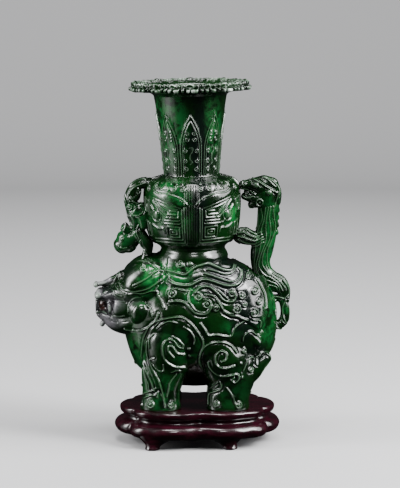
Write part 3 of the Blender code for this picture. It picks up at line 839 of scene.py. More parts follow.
    def _crown_relief(self, turn: Array, points: Array) -> Array:
        """Heights of the cloud lines on the rim's top, which follow its lobes, and of the beads on its side.

        A glint is painted on the edge unevenly round the rim: its share of a crest swings with the sines of 7
        times and of 19 times the angle.

        Args:
            turn: Angle of each point.
            points: The upright points.

        Returns:
            The height of each point, and its share of a crest, which paints a highlight and passes 1 where a
            glint is painted.
        """
        radius = np.hypot(points[:, 0], points[:, 1])
        low, high = self.top_rise
        on_top = smooth_step(points[:, 2], self.rim_height + low, self.rim_height + high)
        crest = np.zeros(len(points))
        for inset, shift in self.cloud_lines:
            away = self.cloud_follow * self.lobe_depth * (1 - self.lobed(turn, shift))
            line = self.rim_radius - inset - away
            crest = np.maximum(crest, np.clip(1 - ((radius - line) / self.cloud_half) ** 2, 0, 1))
        drop = points[:, 2] - self.rim_height
        band = smooth_step(drop, *self.bead_rise) * (1 - smooth_step(drop, *self.bead_fall))
        face = band * (radius > self.rim_radius - self.bead_band)
        bead = face * smooth_step(self.lobed(turn, self.tier_shift), *self.bead_reach)
        uneven = np.clip(0.45 + 0.45 * np.sin(7 * turn + 1) + 0.4 * np.sin(19 * turn), 0, 1)
        top = crest * on_top
        # The share of a crest paints a pale highlight on the cloud lines and a near white glint on the beads
        shown = top**2 * (0.6 + 1.2 * uneven) + bead * (0.8 + uneven)
        height = self.cloud_height * top - self.top_sink * on_top + self.bead_height * bead
        return np.stack([height, shown])


# ---------------------------------------------------------------------------------------------------------
# The beast


@dataclass(frozen=True)
class Beast(Maker):
    """The four-legged beast, with spirals on shoulder and haunch, a wavy mane and a turned-up nose."""

    voxel: float = 0.36
    passes: int = 10
    most: int = 195_000
    body_dome: float = 0.35
    # How squarely the skin faces sideways, ahead or astern where a chart's relief sets in and is full
    side_rise: Rise = (0.12, 0.45)
    end_rise: Rise = (0.35, 0.7)
    # Reach along x of the chest's relief, and where the rump's starts
    chest_span: tuple[float, float] = (-40, 40)
    rump_start: float = 30
    sole_band: float = 0.6
    body: Rows = (
        (3, 0, 43, 22, 13), (3, 0, 49, 35, 21), (3, 0, 58, 45, 28.5), (4, 0, 68, 50.5, 33),
        (5.5, 0, 79, 54.5, 35.2), (5.5, 0, 90, 54.6, 35.6), (4.5, 0, 101, 52, 34), (2.5, 0, 111, 46, 31),
        (1.5, 0, 120, 38, 27.5), (1, 0, 127, 28.5, 24), (1.4, 0, 132, 23, 21),
    )
    middle_limbs: tuple[Rows, ...] = (
        # Upper head
        ((-20, 0, 113, 19, 25.5), (-28, 0, 112.5, 20, 26), (-36, 0, 109.8, 17.6, 25),
         (-43, 0, 106.6, 12.8, 22), (-50, 0, 105.4, 9, 18), (-57, 0, 104.2, 5.4, 15.4),
         (-61.5, 0, 103.8, 4.3, 13.8), (-64.8, 0, 103.6, 3.9, 12.6), (-66.2, 0, 103.7, 2.6, 11.2),
         (-66.8, 0, 103.8, 1, 9)),
        # Jaw
        ((-24, 0, 92, 15, 24.5), (-34, 0, 89, 15, 23), (-43, 0, 86.2, 12, 19), (-51, 0, 85.6, 8.8, 15),
         (-57.5, 0, 88.4, 6.2, 13.4), (-62, 0, 90.2, 4.2, 12), (-64.6, 0, 91, 2.8, 11),
         (-65.8, 0, 91.4, 1.2, 9)),
        # Tongue
        ((-44, 0, 96, 6, 12), (-52, 0, 97, 5, 10), (-59, 0, 97.4, 4, 7.5), (-62.4, 0, 97.6, 2.8, 6)),
        # Blade over the nose
        ((-45, 0, 117.6, 4, 6), (-51, 0, 115.6, 2.8, 5.4), (-57, 0, 113.2, 1.8, 4.8),
         (-62, 0, 111.3, 1.5, 4.2), (-66.8, 0, 110.3, 1.9, 3.4)),
        # Web between the blade and the nose
        ((-46, 0, 112.6, 4.6, 5), (-52, 0, 111.4, 3.6, 4), (-57.6, 0, 110, 2.6, 3),
         (-61, 0, 109, 1.6, 2.2)),
        # Bead under the chin
        ((-61.6, 0, 83.6, 1.8, 2.4), (-62.4, 0, 81.8, 1.8, 2.4)),
    )
    paired_limbs: tuple[Rows, ...] = (
        # Shoulder and haunch
        ((-12, 17, 86, 16, 12), (-13, 20, 73, 19.5, 14.5), (-15, 19.5, 60, 17.5, 13)),
        ((22, 16, 80, 14, 12), (23, 19.5, 64, 17.5, 14.5), (25, 19.5, 52, 16, 12.5)),
        # Corner of the mouth, and cheek
        ((-38, 7, 96.4, 12, 14.6), (-45, 5.4, 96.2, 11.6, 13.8), (-50, 4, 96.2, 11, 13),
         (-53.4, 3.6, 96.6, 8.6, 12), (-55, 3.8, 97, 4, 10)),
        ((-38, 16, 96, 7, 8), (-34.5, 17, 94, 9.6, 9.8), (-30.5, 16, 92, 7.5, 8)),
        # Fangs
        ((-56.4, 13.0, 100, 1.5, 1.6), (-56.4, 13.4, 96.5, 1.5, 1.6), (-56, 13.2, 92.6, 1.2, 1.4)),
        ((-64.8, 9.4, 101, 1.7, 2), (-65.2, 9.6, 96.5, 1.3, 1.8), (-64.8, 9.2, 92.4, 1.6, 2)),
        # Tufts of hair at the hock and on the rump
        ((38, 17, 44, 5, 7), (43, 17.5, 51, 5.4, 7), (48, 17.5, 57.5, 5, 6), (53, 17, 62, 3.4, 4.4)),
        ((36, 20, 78, 5, 5), (41, 20.5, 77, 5.6, 5), (46, 20, 72.5, 4.6, 5)),
    )
    legs: tuple[Rows, ...] = (
        ((-16, 19, 62, 17, 12), (-19, 19.4, 50, 15.5, 11.8), (-20.4, 19.6, 40, 13.4, 10.6),
         (-20.6, 19.8, 33, 13.2, 10.4), (-20.8, 19.8, 28.6, 14.2, 11.2), (-20.8, 19.8, 26, 14, 11)),
        ((26, 19, 60, 18, 12), (28, 19.4, 49, 17, 11.8), (27, 19.6, 40, 15, 10.8),
         (26.2, 19.8, 33, 14.6, 10.6), (26, 19.8, 28.6, 15, 11.2), (26, 19.8, 26, 14.8, 11)),
    )
    shoulder: tuple[Shape, ...] = (
        Plate(
            ((-33, 66), (-32, 76), (-27, 86), (-18, 90), (-7, 92), (0, 88), (5, 82), (8, 75), (6, 66),
             (2, 58), (-8, 53), (-22, 54)), 0.6, 2.5,
        ),
        *strokes(
            Weight.THICK,
            ((-34, 63), (-33, 72), (-31, 80), (-27, 87), (-19, 91), (-7, 93), (0, 89), (5, 83), (8.5, 76.5),
             (8.5, 72.5), (6.5, 66.5), (6, 60), (8.5, 55)),
            ((-34, 63), (-31, 55), (-27.5, 48), (-25, 40.5)),
            ((-4, 57.5), (-11.5, 58.5), (-17.5, 63.5), (-19, 72), (-16, 77), (-11.5, 76.5), (-8.5, 72.5),
             (-5.5, 71.5), (-5, 73.5), (-8.5, 77.5), (-12, 79.5)),
        ),
        *strokes(
            Weight.MEDIUM,
            ((-29.5, 75), (-29.5, 66), (-26.5, 57), (-22, 48), (-19, 37.5), (-17.5, 29)),
            ((-4, 67), (-9, 68), (-12, 72), (-14.5, 73), (-15, 69.5), (-11.5, 65)),
            ((-10, 52.5), (-14, 47), (-15, 42), (-16.5, 36.5)),
        ),
        *strokes(
            Weight.FINE,
            ((-4.5, 86.5), (0, 83.5), (3, 78), (2.5, 74.5)),
            ((-23, 84.5), (-19, 88), (-14.5, 90), (-9, 89)), ((-25, 80.5), (-28, 76.5), (-28, 70.5)),
            ((-24.5, 64), (-27.5, 62.5), (-26, 59), (-21.5, 54.5), (-18.5, 55.5), (-18.5, 59.5)),
            ((-13.5, 54), (-10, 55.5), (-7, 55)),
        ),
        Boss(-1, 71, 1.2, 0.9), Boss(-0.4, 66, 1.0, 0.8),
    )
    haunch: tuple[Shape, ...] = (
        Plate(
            ((9, 58), (7, 65), (10, 73), (20, 75), (29, 72), (34, 64), (34, 54), (26, 50), (15, 53)),
            0.6, 2.5,
        ),
        *strokes(
            Weight.THICK,
            ((8.5, 55), (6, 62.5), (8.5, 71), (14, 75), (21.5, 75.5), (27.5, 73), (31.5, 68)),
            ((30, 59), (23.5, 57.5), (18.5, 59.5), (17.5, 65), (20.5, 69), (24.5, 67.5), (24.5, 63.5),
             (21.5, 62)),
            ((12.5, 61), (14, 57), (18.5, 52.5), (23.5, 51.5), (31.5, 52.5), (33.5, 49.5), (30.5, 46.5),
             (28.5, 48.5), (30, 50)),
            ((7, 89), (10, 84.5), (12.5, 80.5), (17.5, 81), (27.5, 79.5), (30.5, 85.5), (37.5, 90)),
        ),
        *strokes(
            Weight.MEDIUM,
            ((36, 75.5), (37, 79.5), (41.5, 82), (46.5, 78.5), (49.5, 81)),
            ((36.3, 54.5), (38, 58.5), (40.6, 62.6), (43.6, 62.4), (44.4, 59.6)),
            ((46, 57.5), (46, 62), (48.6, 65), (52.4, 65), (55.4, 62.4), (55, 59.6), (51, 55), (47, 48),
             (43.5, 41)),
        ),
        Boss(35, 60, 1.1, 0.8), Boss(35.5, 50, 1.1, 0.8), Curl(41.5, 54.4, 1.6), Curl(36.6, 68.6, 1.8),
    )
    feet: tuple[Shape, ...] = (
        Stroke(((12.5, 30), (13, 37), (17, 39.6), (20.6, 41.6), (21.6, 44.6), (20.6, 47)), Weight.THICK),
        *strokes(
            Weight.MEDIUM,
            ((-34.4, 29), (-34.2, 35), (-31, 38.6), (-27, 40.4), (-24, 42.6)),
            ((-31.6, 35), (-28, 37), (-25, 37.4), (-22.4, 40), (-23, 36)),
        ),
        *strokes(
            Weight.FINE,
            ((-28.6, 40), (-29, 45), (-31, 50), (-33, 56)), ((-20.4, 38), (-18.6, 34.4), (-17.6, 29)),
            ((13.4, 41), (16.4, 44), (19, 46.6)), ((25, 43), (29, 37), (31, 31)),
        ),
        Curl(-28, 30.6, 2.6), Curl(-14, 30.2, 2.2), Curl(33, 30.2, 2.4), Curl(17.8, 31, 2.0),
    )
    mane: tuple[Shape, ...] = (
        Plate(
            ((-17, 124), (-15, 113), (-15, 105), (-10, 102.5), (-3, 101.5), (3, 96.5), (9, 95), (15, 98),
             (20, 98), (26, 94.5), (33, 92.5), (40, 87), (48, 82), (53, 90), (58, 100), (64, 118),
             (40, 140), (-10, 140)), 1.0, 1.6,
        ),
        *strokes(
            Weight.ROPE,
            ((-17.5, 123.5), (-12, 122.5), (-5, 121), (-2, 122), (2.5, 125.5), (7, 127), (12, 127.5),
             (17.5, 125.5), (22.5, 123.5), (27.5, 123), (29.5, 125.5), (29, 128)),
            ((-15, 117), (-11, 115), (-4.5, 114), (0.5, 114.5), (4.5, 116.5), (9, 118), (14, 117),
             (19.5, 115), (24.5, 113.5), (30, 113.5), (34, 115.5), (35, 118.5), (34.5, 122)),
            ((3.5, 109.5), (6, 112.5), (10, 113.5), (14, 112.5), (18.5, 109), (21.5, 105.5), (24.5, 103.5),
             (29, 103.5), (30.5, 106.5), (29, 109.5), (26, 109.5)),
            ((-14, 103), (-9, 103.5), (-4, 102.5), (0, 99), (3.5, 96), (8, 95), (11.5, 96), (13.5, 98.5),
             (14, 101)),
            ((23, 96.5), (27.5, 94), (32, 93), (35.5, 91), (38.5, 90)),
        ),
        *strokes(
            Weight.MEDIUM,
            ((11, 124.5), (17, 123), (22.5, 121), (27.5, 121), (30, 123), (31, 125.5), (33, 126)),
            ((9, 122), (14, 120.5), (20.5, 118), (26, 116), (30.5, 116), (33, 118), (34, 121.5), (32, 124)),
            ((10, 108), (13, 108), (16.5, 106.5), (19.5, 102.5), (22.5, 97.5), (26, 95.5), (29, 95)),
            ((18.5, 111), (25.5, 105)), ((0, 111), (-1, 107.5), (-1, 103)),
            ((42.5, 90), (47.5, 88.5), (47.5, 84)),
        ),
        *strokes(
            Weight.FINE,
            ((0, 102.5), (3.5, 98), (8, 96.5), (11, 97), (13, 99.5)),
            ((25, 135), (30, 131), (35, 126), (40.5, 122), (44.5, 117), (48, 111), (50.5, 105), (51, 98)),
            ((-10, 112), (-3, 110.5), (1, 111)),
        ),
        Curl(-12.8, 108.4, 3.2), Curl(5.3, 106.6, 2.6), Curl(11, 101.8, 3.0), Curl(17.3, 99, 2.4),
        Curl(27.8, 108.6, 2.6), Curl(34.6, 106.5, 2.2), Curl(31.3, 97.5, 3.0), Curl(43, 94.3, 3.0),
        Curl(43.5, 109, 2.6), Curl(39.5, 118.6, 2.8), Curl(36.5, 100.5, 1.6), Curl(46.5, 101.5, 2.0),
        Boss(15.2, 131.6, 2.2, 1.2), Boss(9, 132, 2.2, 1.2), Boss(-0.5, 128.2, 2, 1.1),
        Curl(-7, 127.5, 2.4),
    )
    head: tuple[Shape, ...] = (
        Plate(
            ((-50.5, 113.5), (-48, 111), (-44.5, 109.5), (-39, 109.3), (-34.5, 110.2), (-28.5, 112.2),
             (-23, 115.6), (-17, 120), (-20, 124), (-28.5, 128), (-36, 128.6), (-40, 127), (-45, 123.4),
             (-48, 121.4), (-50, 117)), 1.8, 3.0,
        ),
        *strokes(
            Weight.THICK,
            ((-49.5, 113.5), (-50, 117), (-48, 121.5), (-45, 123.5), (-40, 127), (-36, 128.5), (-32, 128.5),
             (-28.5, 128)),
            ((-49.5, 113.5), (-48, 110.5), (-44.5, 109.5), (-39, 109), (-34.5, 110), (-28.5, 112),
             (-23, 115.5), (-19, 118), (-16, 120.5)),
            ((-22, 95), (-23, 91.5), (-25.5, 88), (-28.5, 85), (-32, 83)),
            ((-56.5, 98.2), (-56.3, 95), (-56.1, 93.4)),
        ),
        *strokes(
            Weight.MEDIUM,
            ((-25.5, 110), (-23, 109.5), (-22, 106.5), (-19.5, 103), (-18, 99)),
            ((-29.6, 99.6), (-27, 97), (-26, 93)), ((-46, 81.5), (-42, 81), (-35.5, 81.5), (-31.5, 83.5)),
            ((-65.5, 92.6), (-62, 92.6), (-58.5, 91.4)),
        ),
        *strokes(
            Weight.FINE,
            ((-39, 113), (-33.5, 116), (-28.5, 119), (-25, 121.5), (-20.5, 124)),
            ((-44, 126.5), (-41, 129), (-36.5, 131.5), (-32, 133)),
            ((-42.5, 107), (-38.5, 108), (-33, 108), (-28.5, 109.5), (-24.5, 110.5), (-22.5, 113)),
            ((-31.5, 129.5), (-27, 127), (-22.5, 124.5), (-17.5, 121.5)),
            ((-20.5, 93.5), (-20.5, 90.5), (-24.5, 86)),
            ((-60.5, 106), (-57, 108.6), (-54.4, 112), (-52, 116)),
            ((-49, 120), (-52.5, 116.5), (-56.5, 115), (-62.5, 114), (-67, 111.5)),
            ((-65.5, 101.4), (-62.5, 101.8), (-59, 101), (-57, 99.6)),
        ),
        *strokes(
            Weight.HAIR,
            ((-43.4, 94), (-43, 98.6), (-41, 102.4), (-38, 104.6), (-34.4, 105)),
            ((-54.5, 108.6), (-51, 106), (-47, 105)), ((-53.6, 106), (-50, 103.6), (-46, 102.8)),
            ((-52.6, 103.4), (-49.4, 101.4), (-45.4, 100.8)), ((-52, 111), (-49.4, 108.4), (-45.6, 107.4)),
            ((-54.5, 90.6), (-50, 90.2), (-45.5, 91.4)),
        ),
        *strokes(
            Weight.HAIR,
            ((-56.5, 88.4), (-54, 86.4), (-51, 85.8)), ((-51, 87.4), (-47.5, 86.4), (-43.5, 87.2)),
            cut=Cut.GROOVE,
        ),
        Curl(-32.5, 123.6, 2.4, weight=Weight.FINE), Boss(-64.4, 104.6, 3.0, 1.0),
        Boss(-66.4, 110.2, 1.6, 0.8),
    )
    chest: tuple[Shape, ...] = (
        *strokes(
            Weight.MEDIUM,
            ((0, 54), (7, 58), (14, 66), (17, 76)), ((12, 40), (18, 43), (25, 41)),
        ),
        Stroke(((0, 60), (6, 64), (11, 71), (13, 78)), Weight.FINE),
        *strokes(
            Weight.FINE,
            ((12, 26), (12.6, 31), (13, 34)), ((17.5, 26), (17.5, 32), (18, 36)),
            ((23, 26), (23, 32), (22.4, 35)),
            cut=Cut.GROOVE,
        ),
        Curl(5, 70, 2.6),
    )
    rump: tuple[Shape, ...] = (
        *strokes(
            Weight.MEDIUM,
            ((0, 112), (5, 104), (4, 94), (8, 84), (7, 76)), ((6, 118), (11, 108), (10, 98), (14, 88)),
            ((13, 122), (18, 112), (17, 102), (21, 93)),
        ),
        *strokes(
            Weight.FINE,
            ((0, 72), (5, 64), (3, 56)), ((14, 34), (20, 38), (26, 34)),
        ),
        Curl(12, 82, 3.0), Curl(20, 88, 2.8), Curl(10, 66, 2.6), Curl(22, 104, 2.4),
    )

    def build(self) -> bpy.types.Object:
        """Fuse the beast's masses, carve them and set their soles down flat.

        Returns:
            The beast's piece.
        """
        shells = Shells()
        shells.limb(self.body, dome=self.body_dome)
        shells.limbs(self.middle_limbs, self.paired_limbs)
        for side in SIDES:
            for rows in self.legs:
                shells.limb(rows, side, dome=0)
        skin = Skin.fused(shells, self.voxel, self.passes)
        x, y, z = skin.points.T
        aside = smooth_step(np.abs(skin.normals[:, 1]), *self.side_rise)
        flank = Relief(x, z).draw((*self.shoulder, *self.haunch, *self.feet, *self.mane, *self.head))
        chest = Relief(np.abs(y), z).draw(self.chest)
        rump = Relief(np.abs(y), z).draw(self.rump)
        front, back = self.chest_span
        ahead = smooth_step(-skin.normals[:, 0], *self.end_rise) * (x > front) * (x < back)
        astern = smooth_step(skin.normals[:, 0], *self.end_rise) * (x > self.rump_start)
        carving = aside * flank.carving()
        carving += (1 - aside) * (ahead * chest.carving() + astern * rump.carving())
        low = skin.points[:, 2] < SOLE + self.sole_band
        skin.points[low, 2] = SOLE
        return finish_piece("beast", skin, np.where(low, 0, carving), self.most)


# ---------------------------------------------------------------------------------------------------------
# The small figures


@dataclass(frozen=True)
class Figure(Maker):
    """A figure that clings to the vase, built from limbs and carved alike on both of its sides."""

    name: str
    middle_limbs: tuple[Rows, ...]
    paired_limbs: tuple[Rows, ...]
    lines: tuple[Shape, ...]
    voxel: float = 0.3
    passes: int = 8
    most: int = 130_000
    # How squarely the skin faces sideways where the relief sets in and is full
    side_rise: Rise = (0.1, 0.45)

    def build(self) -> bpy.types.Object:
        """Fuse the figure's limbs and carve both sides.

        Returns:
            The figure's piece.
        """
        shells = Shells()
        shells.limbs(self.middle_limbs, self.paired_limbs)
        skin = Skin.fused(shells, self.voxel, self.passes)
        aside = smooth_step(np.abs(skin.normals[:, 1]), *self.side_rise)
        relief = Relief(skin.points[:, 0], skin.points[:, 2]).draw(self.lines)
        return finish_piece(self.name, skin, aside * relief.carving(), self.most)


def fringe(
    fin: Rows, count: int = 6, top: float = 174, drop: float = 5.2, inset: float = 0.25
) -> tuple[Rows, ...]:
    """The fins down the dragon's back, each below the one before it and a little further in.

    Args:
        fin: Sections of a fin, with their heights above its own level.
        count: How many fins there are.
        top: Level of the first fin.
        drop: Height from one fin to the next.
        inset: How much further in the next fin lies.

    Returns:
        One limb for each fin.
    """
    return tuple(
        tuple((x - inset * step, y, z + top - drop * step, thick, wide) for x, y, z, thick, wide in fin)
        for step in range(count)
    )


def strands(
    first: Rows, last: Rows, shares: Sequence[float], weight: Weight = Weight.FINE, sway: float = 0.0
) -> tuple[Stroke, ...]:
    """Lines that run side by side: each lies at its share of the way from a first line to a last one.

    A line's share swings with the sine of 1.7 times the point's number plus 5 times the share itself.

    Args:
        first: Points of the first line.
        last: As many points of the last line.
        shares: How far across each line lies.
        weight: Weight of the lines.
        sway: How far the share swings.

    Returns:
        One stroke for each share.
    """
    low, high = np.asarray(first, float), np.asarray(last, float)
    along = np.arange(len(low))[:, None]
    lines = (low + (share + sway * np.sin(1.7 * along + 5 * share)) * (high - low) for share in shares)
    return tuple(Stroke(line, weight) for line in lines)


DRAGON = Figure(
    name="dragon_handle",
    middle_limbs=(
        # Body
        ((53, 0, 176, 9, 7.2), (54.4, 0, 168, 7.6, 6.8), (54, 0, 160, 7.2, 6.4), (53.2, 0, 151, 7.4, 6.2),
         (51.8, 0, 143, 7.6, 6.4), (49.6, 0, 134, 7.8, 6.6), (48.8, 0, 126.5, 6.8, 6.4),
         (50.8, 0, 119, 6.8, 6.2), (56, 0, 113.4, 7, 6.2), (61.4, 0, 110.6, 6.8, 6), (65, 0, 106.4, 5, 5.4),
         (66, 0, 100, 3.6, 4.8)),
        # Ring of the tail
        ((55, 0, 97, 2.6, 4.2), (59.6, 0, 101, 2.4, 4.4), (64.6, 0, 99, 3.2, 4.6), (66.2, 0, 92, 3.3, 4.6),
         (65.4, 0, 85.4, 3.4, 4.6), (61.6, 0, 81.8, 3.4, 4.6), (57.6, 0, 83.4, 3.2, 4.4)),
        # Snout and jaw
        ((56, 0, 178, 8, 6.8), (50, 0, 179.6, 7.6, 7), (44.5, 0, 180.4, 5.4, 6.2),
         (39.5, 0, 180.6, 3.8, 5.2), (35.6, 0, 180.4, 3, 4.4)),
        ((54, 0, 170, 7, 6.4), (48, 0, 170.8, 5.4, 6), (42, 0, 171.8, 3.6, 5.2), (37, 0, 172.8, 2.4, 4.2)),
        # Crest and beard
        ((44, 0, 184.2, 1.5, 3.6), (51, 0, 184.8, 2.2, 5.4), (57.4, 0, 182, 2.6, 6.6),
         (60.6, 0, 176, 2.6, 6.6), (60.6, 0, 169, 2.4, 5.6)),
        # What fills the mouth behind the lips
        ((52, 0, 175.4, 7, 6), (45, 0, 175.8, 4, 5), (39.5, 0, 176, 3, 3.8)),
        ((48, 0, 168, 3.2, 5.6), (44, 0, 167.4, 3, 5), (41.6, 0, 166.8, 2.2, 4.2)),
        # Paw on the bulb
        ((51, 0, 143.6, 5.2, 5.8), (46, 0, 143.0, 4.6, 6.4), (41, 0, 143.8, 5.6, 7), (37, 0, 144.8, 6, 7),
         (33.5, 0, 144.8, 5.2, 6)),
        *fringe(((56.4, 0, 1.6, 2.2, 3.4), (60.2, 0, 0.4, 2.1, 3.0), (61.4, 0, -1.4, 1.5, 2.0))),
    ),
    paired_limbs=(),
    lines=(
        Stroke(((43, 185), (48.5, 182.5), (55, 178.5), (60, 176)), Weight.THICK),
        *strokes(
            Weight.MEDIUM,
            ((40.5, 184.5), (45, 187), (51, 186.5), (56.5, 184), (61, 179), (61.5, 174)),
            ((35.5, 178.5), (39.5, 178), (42.5, 176), (45, 174.5)), ((36.5, 173), (39.5, 172), (43.5, 173)),
            ((39, 167), (40.5, 165.5), (43.5, 165)), ((47, 166.5), (47.5, 161), (47, 152.5), (46, 149.5)),
            ((64.5, 114), (68, 109), (68.5, 104.5), (65.5, 101)),
            ((54.5, 99.5), (56.5, 102), (60.5, 102), (65.5, 101)),
            ((55, 99.5), (56.5, 92), (58, 86), (60.5, 80.5), (64.5, 79)),
            ((66.5, 100), (64.5, 95), (65, 88.5), (67, 83)),
        ),
        *strokes(
            Weight.FINE,
            ((48.5, 187), (54, 184.5), (59, 180)), ((35.5, 177), (38, 175.5), (40.5, 174), (43, 174)),
            ((44, 182.5), (48.5, 179.5)), ((61, 175.5), (60, 171), (57.5, 165)),
            ((68.5, 100), (69, 93), (68.5, 85.5)), ((59, 88), (62.5, 86), (66.5, 83)),
        ),
        *strands(
            ((46.6, 164), (47.6, 157), (46.6, 150), (44.6, 142), (42.4, 133), (42.6, 124), (45.6, 116.5),
             (51, 110.5), (57.5, 107.6), (61, 103.6)),
            ((60.4, 167), (60, 159), (59.6, 151), (58.4, 143), (56.6, 135), (55, 127), (56, 121.6),
             (60.5, 119.6), (66, 117), (69.4, 111)),
            (0.12, 0.30, 0.48, 0.66, 0.86), Weight.HAIR, 0.09,
        ),
        *strands(
            ((33, 149.4), (37.4, 150.8), (41.6, 148.2), (45.6, 146.4), (49, 148)),
            ((33, 141), (36, 138.4), (40.5, 137.8), (45.6, 138.2), (50.6, 141)),
            (0.0, 0.25, 0.5, 0.75, 1.0), Weight.MEDIUM,
        ),
        Ring(37, 182, 1.2, Weight.FINE), Boss(45.5, 181, 2.2, 1.3), Ring(48, 168.8, 2.3, Weight.FINE),
        Boss(54.5, 176, 2.2, 1.4), Curl(59, 98.2, 1.6, weight=Weight.FINE), Boss(55.2, 119.6, 2.0, 1.2),
    ),
)

CUB = Figure(
    name="cub",
    middle_limbs=(
        # Arched back
        ((-28, 0, 181.8, 4, 6.6), (-35, 0, 181.4, 3.8, 6.6), (-40.2, 0, 177.6, 3.8, 6.2),
         (-42.6, 0, 171.6, 3.9, 6.2), (-41, 0, 166, 5, 6.6), (-38.2, 0, 161, 6.6, 7.8),
         (-37.2, 0, 154.6, 5.6, 7), (-38.2, 0, 147.4, 5.8, 6.8), (-39.8, 0, 142.4, 5, 6)),
        # Curl of the tail
        ((-42, 0, 170, 2.8, 5.2), (-38.4, 0, 172, 3, 5.4), (-36.6, 0, 176, 2.4, 4.8)),
        # Head
        ((-38, 0, 145, 5.6, 6.6), (-42.6, 0, 142.6, 8, 8.2), (-46, 0, 139.8, 8.2, 8.2),
         (-48.8, 0, 137.8, 6, 6.8)),
    ),
    paired_limbs=(
        # Ear, foreleg and hind leg
        ((-43.6, 5, 148, 2.4, 2), (-46.6, 6.2, 151.4, 2.8, 2)),
        ((-37, 4.6, 148, 4.4, 3.4), (-33, 6, 142.5, 3.8, 3.2), (-29.8, 6.6, 138, 3.6, 3),
         (-30.6, 6.8, 132.6, 3.2, 3), (-32, 6.8, 128.6, 3.2, 3.4)),
        ((-37, 5.4, 163.5, 5.4, 3.6), (-33.2, 6.4, 158.6, 4.2, 3.4), (-32.6, 6.6, 152, 2.8, 3)),
    ),
    lines=(
        *strokes(
            Weight.MEDIUM,
            ((-31, 185), (-36.5, 184.5), (-41, 181.5), (-44.5, 178.5), (-46, 173.5), (-44.5, 168)),
            ((-39.5, 169), (-36.5, 167.5), (-32.5, 167)),
        ),
        *strokes(
            Weight.FINE,
            ((-31.5, 182.5), (-37.5, 180.5), (-41, 177.5), (-43, 174.5)),
            ((-42, 161), (-39, 160), (-35.5, 160.5), (-33, 162.5)),
            ((-44.5, 165.5), (-44, 159.5), (-42.5, 155), (-41.5, 150.5)),
            ((-36.5, 153), (-37.5, 148.5), (-35.5, 143.5)),
            ((-35, 142.5), (-34.5, 139), (-32, 135.5), (-30.5, 133.5)),
        ),
        *strokes(
            Weight.HAIR,
            ((-50.5, 138.4), (-47.5, 137), (-44.5, 137.6)),
            ((-49, 148.5), (-49, 151.5), (-47, 153.5), (-45.5, 153), (-46, 150.5), (-48, 148.5)),
        ),
        Curl(-36.8, 176.6, 2.0, weight=Weight.FINE), Curl(-41.9, 170.9, 1.8, weight=Weight.FINE),
        Curl(-42.4, 165.3, 1.8, weight=Weight.FINE), Boss(-47.6, 143.4, 1.3, 0.8),
    ),
    voxel=0.27,
    most=110_000,
)


# ---------------------------------------------------------------------------------------------------------
# The stand


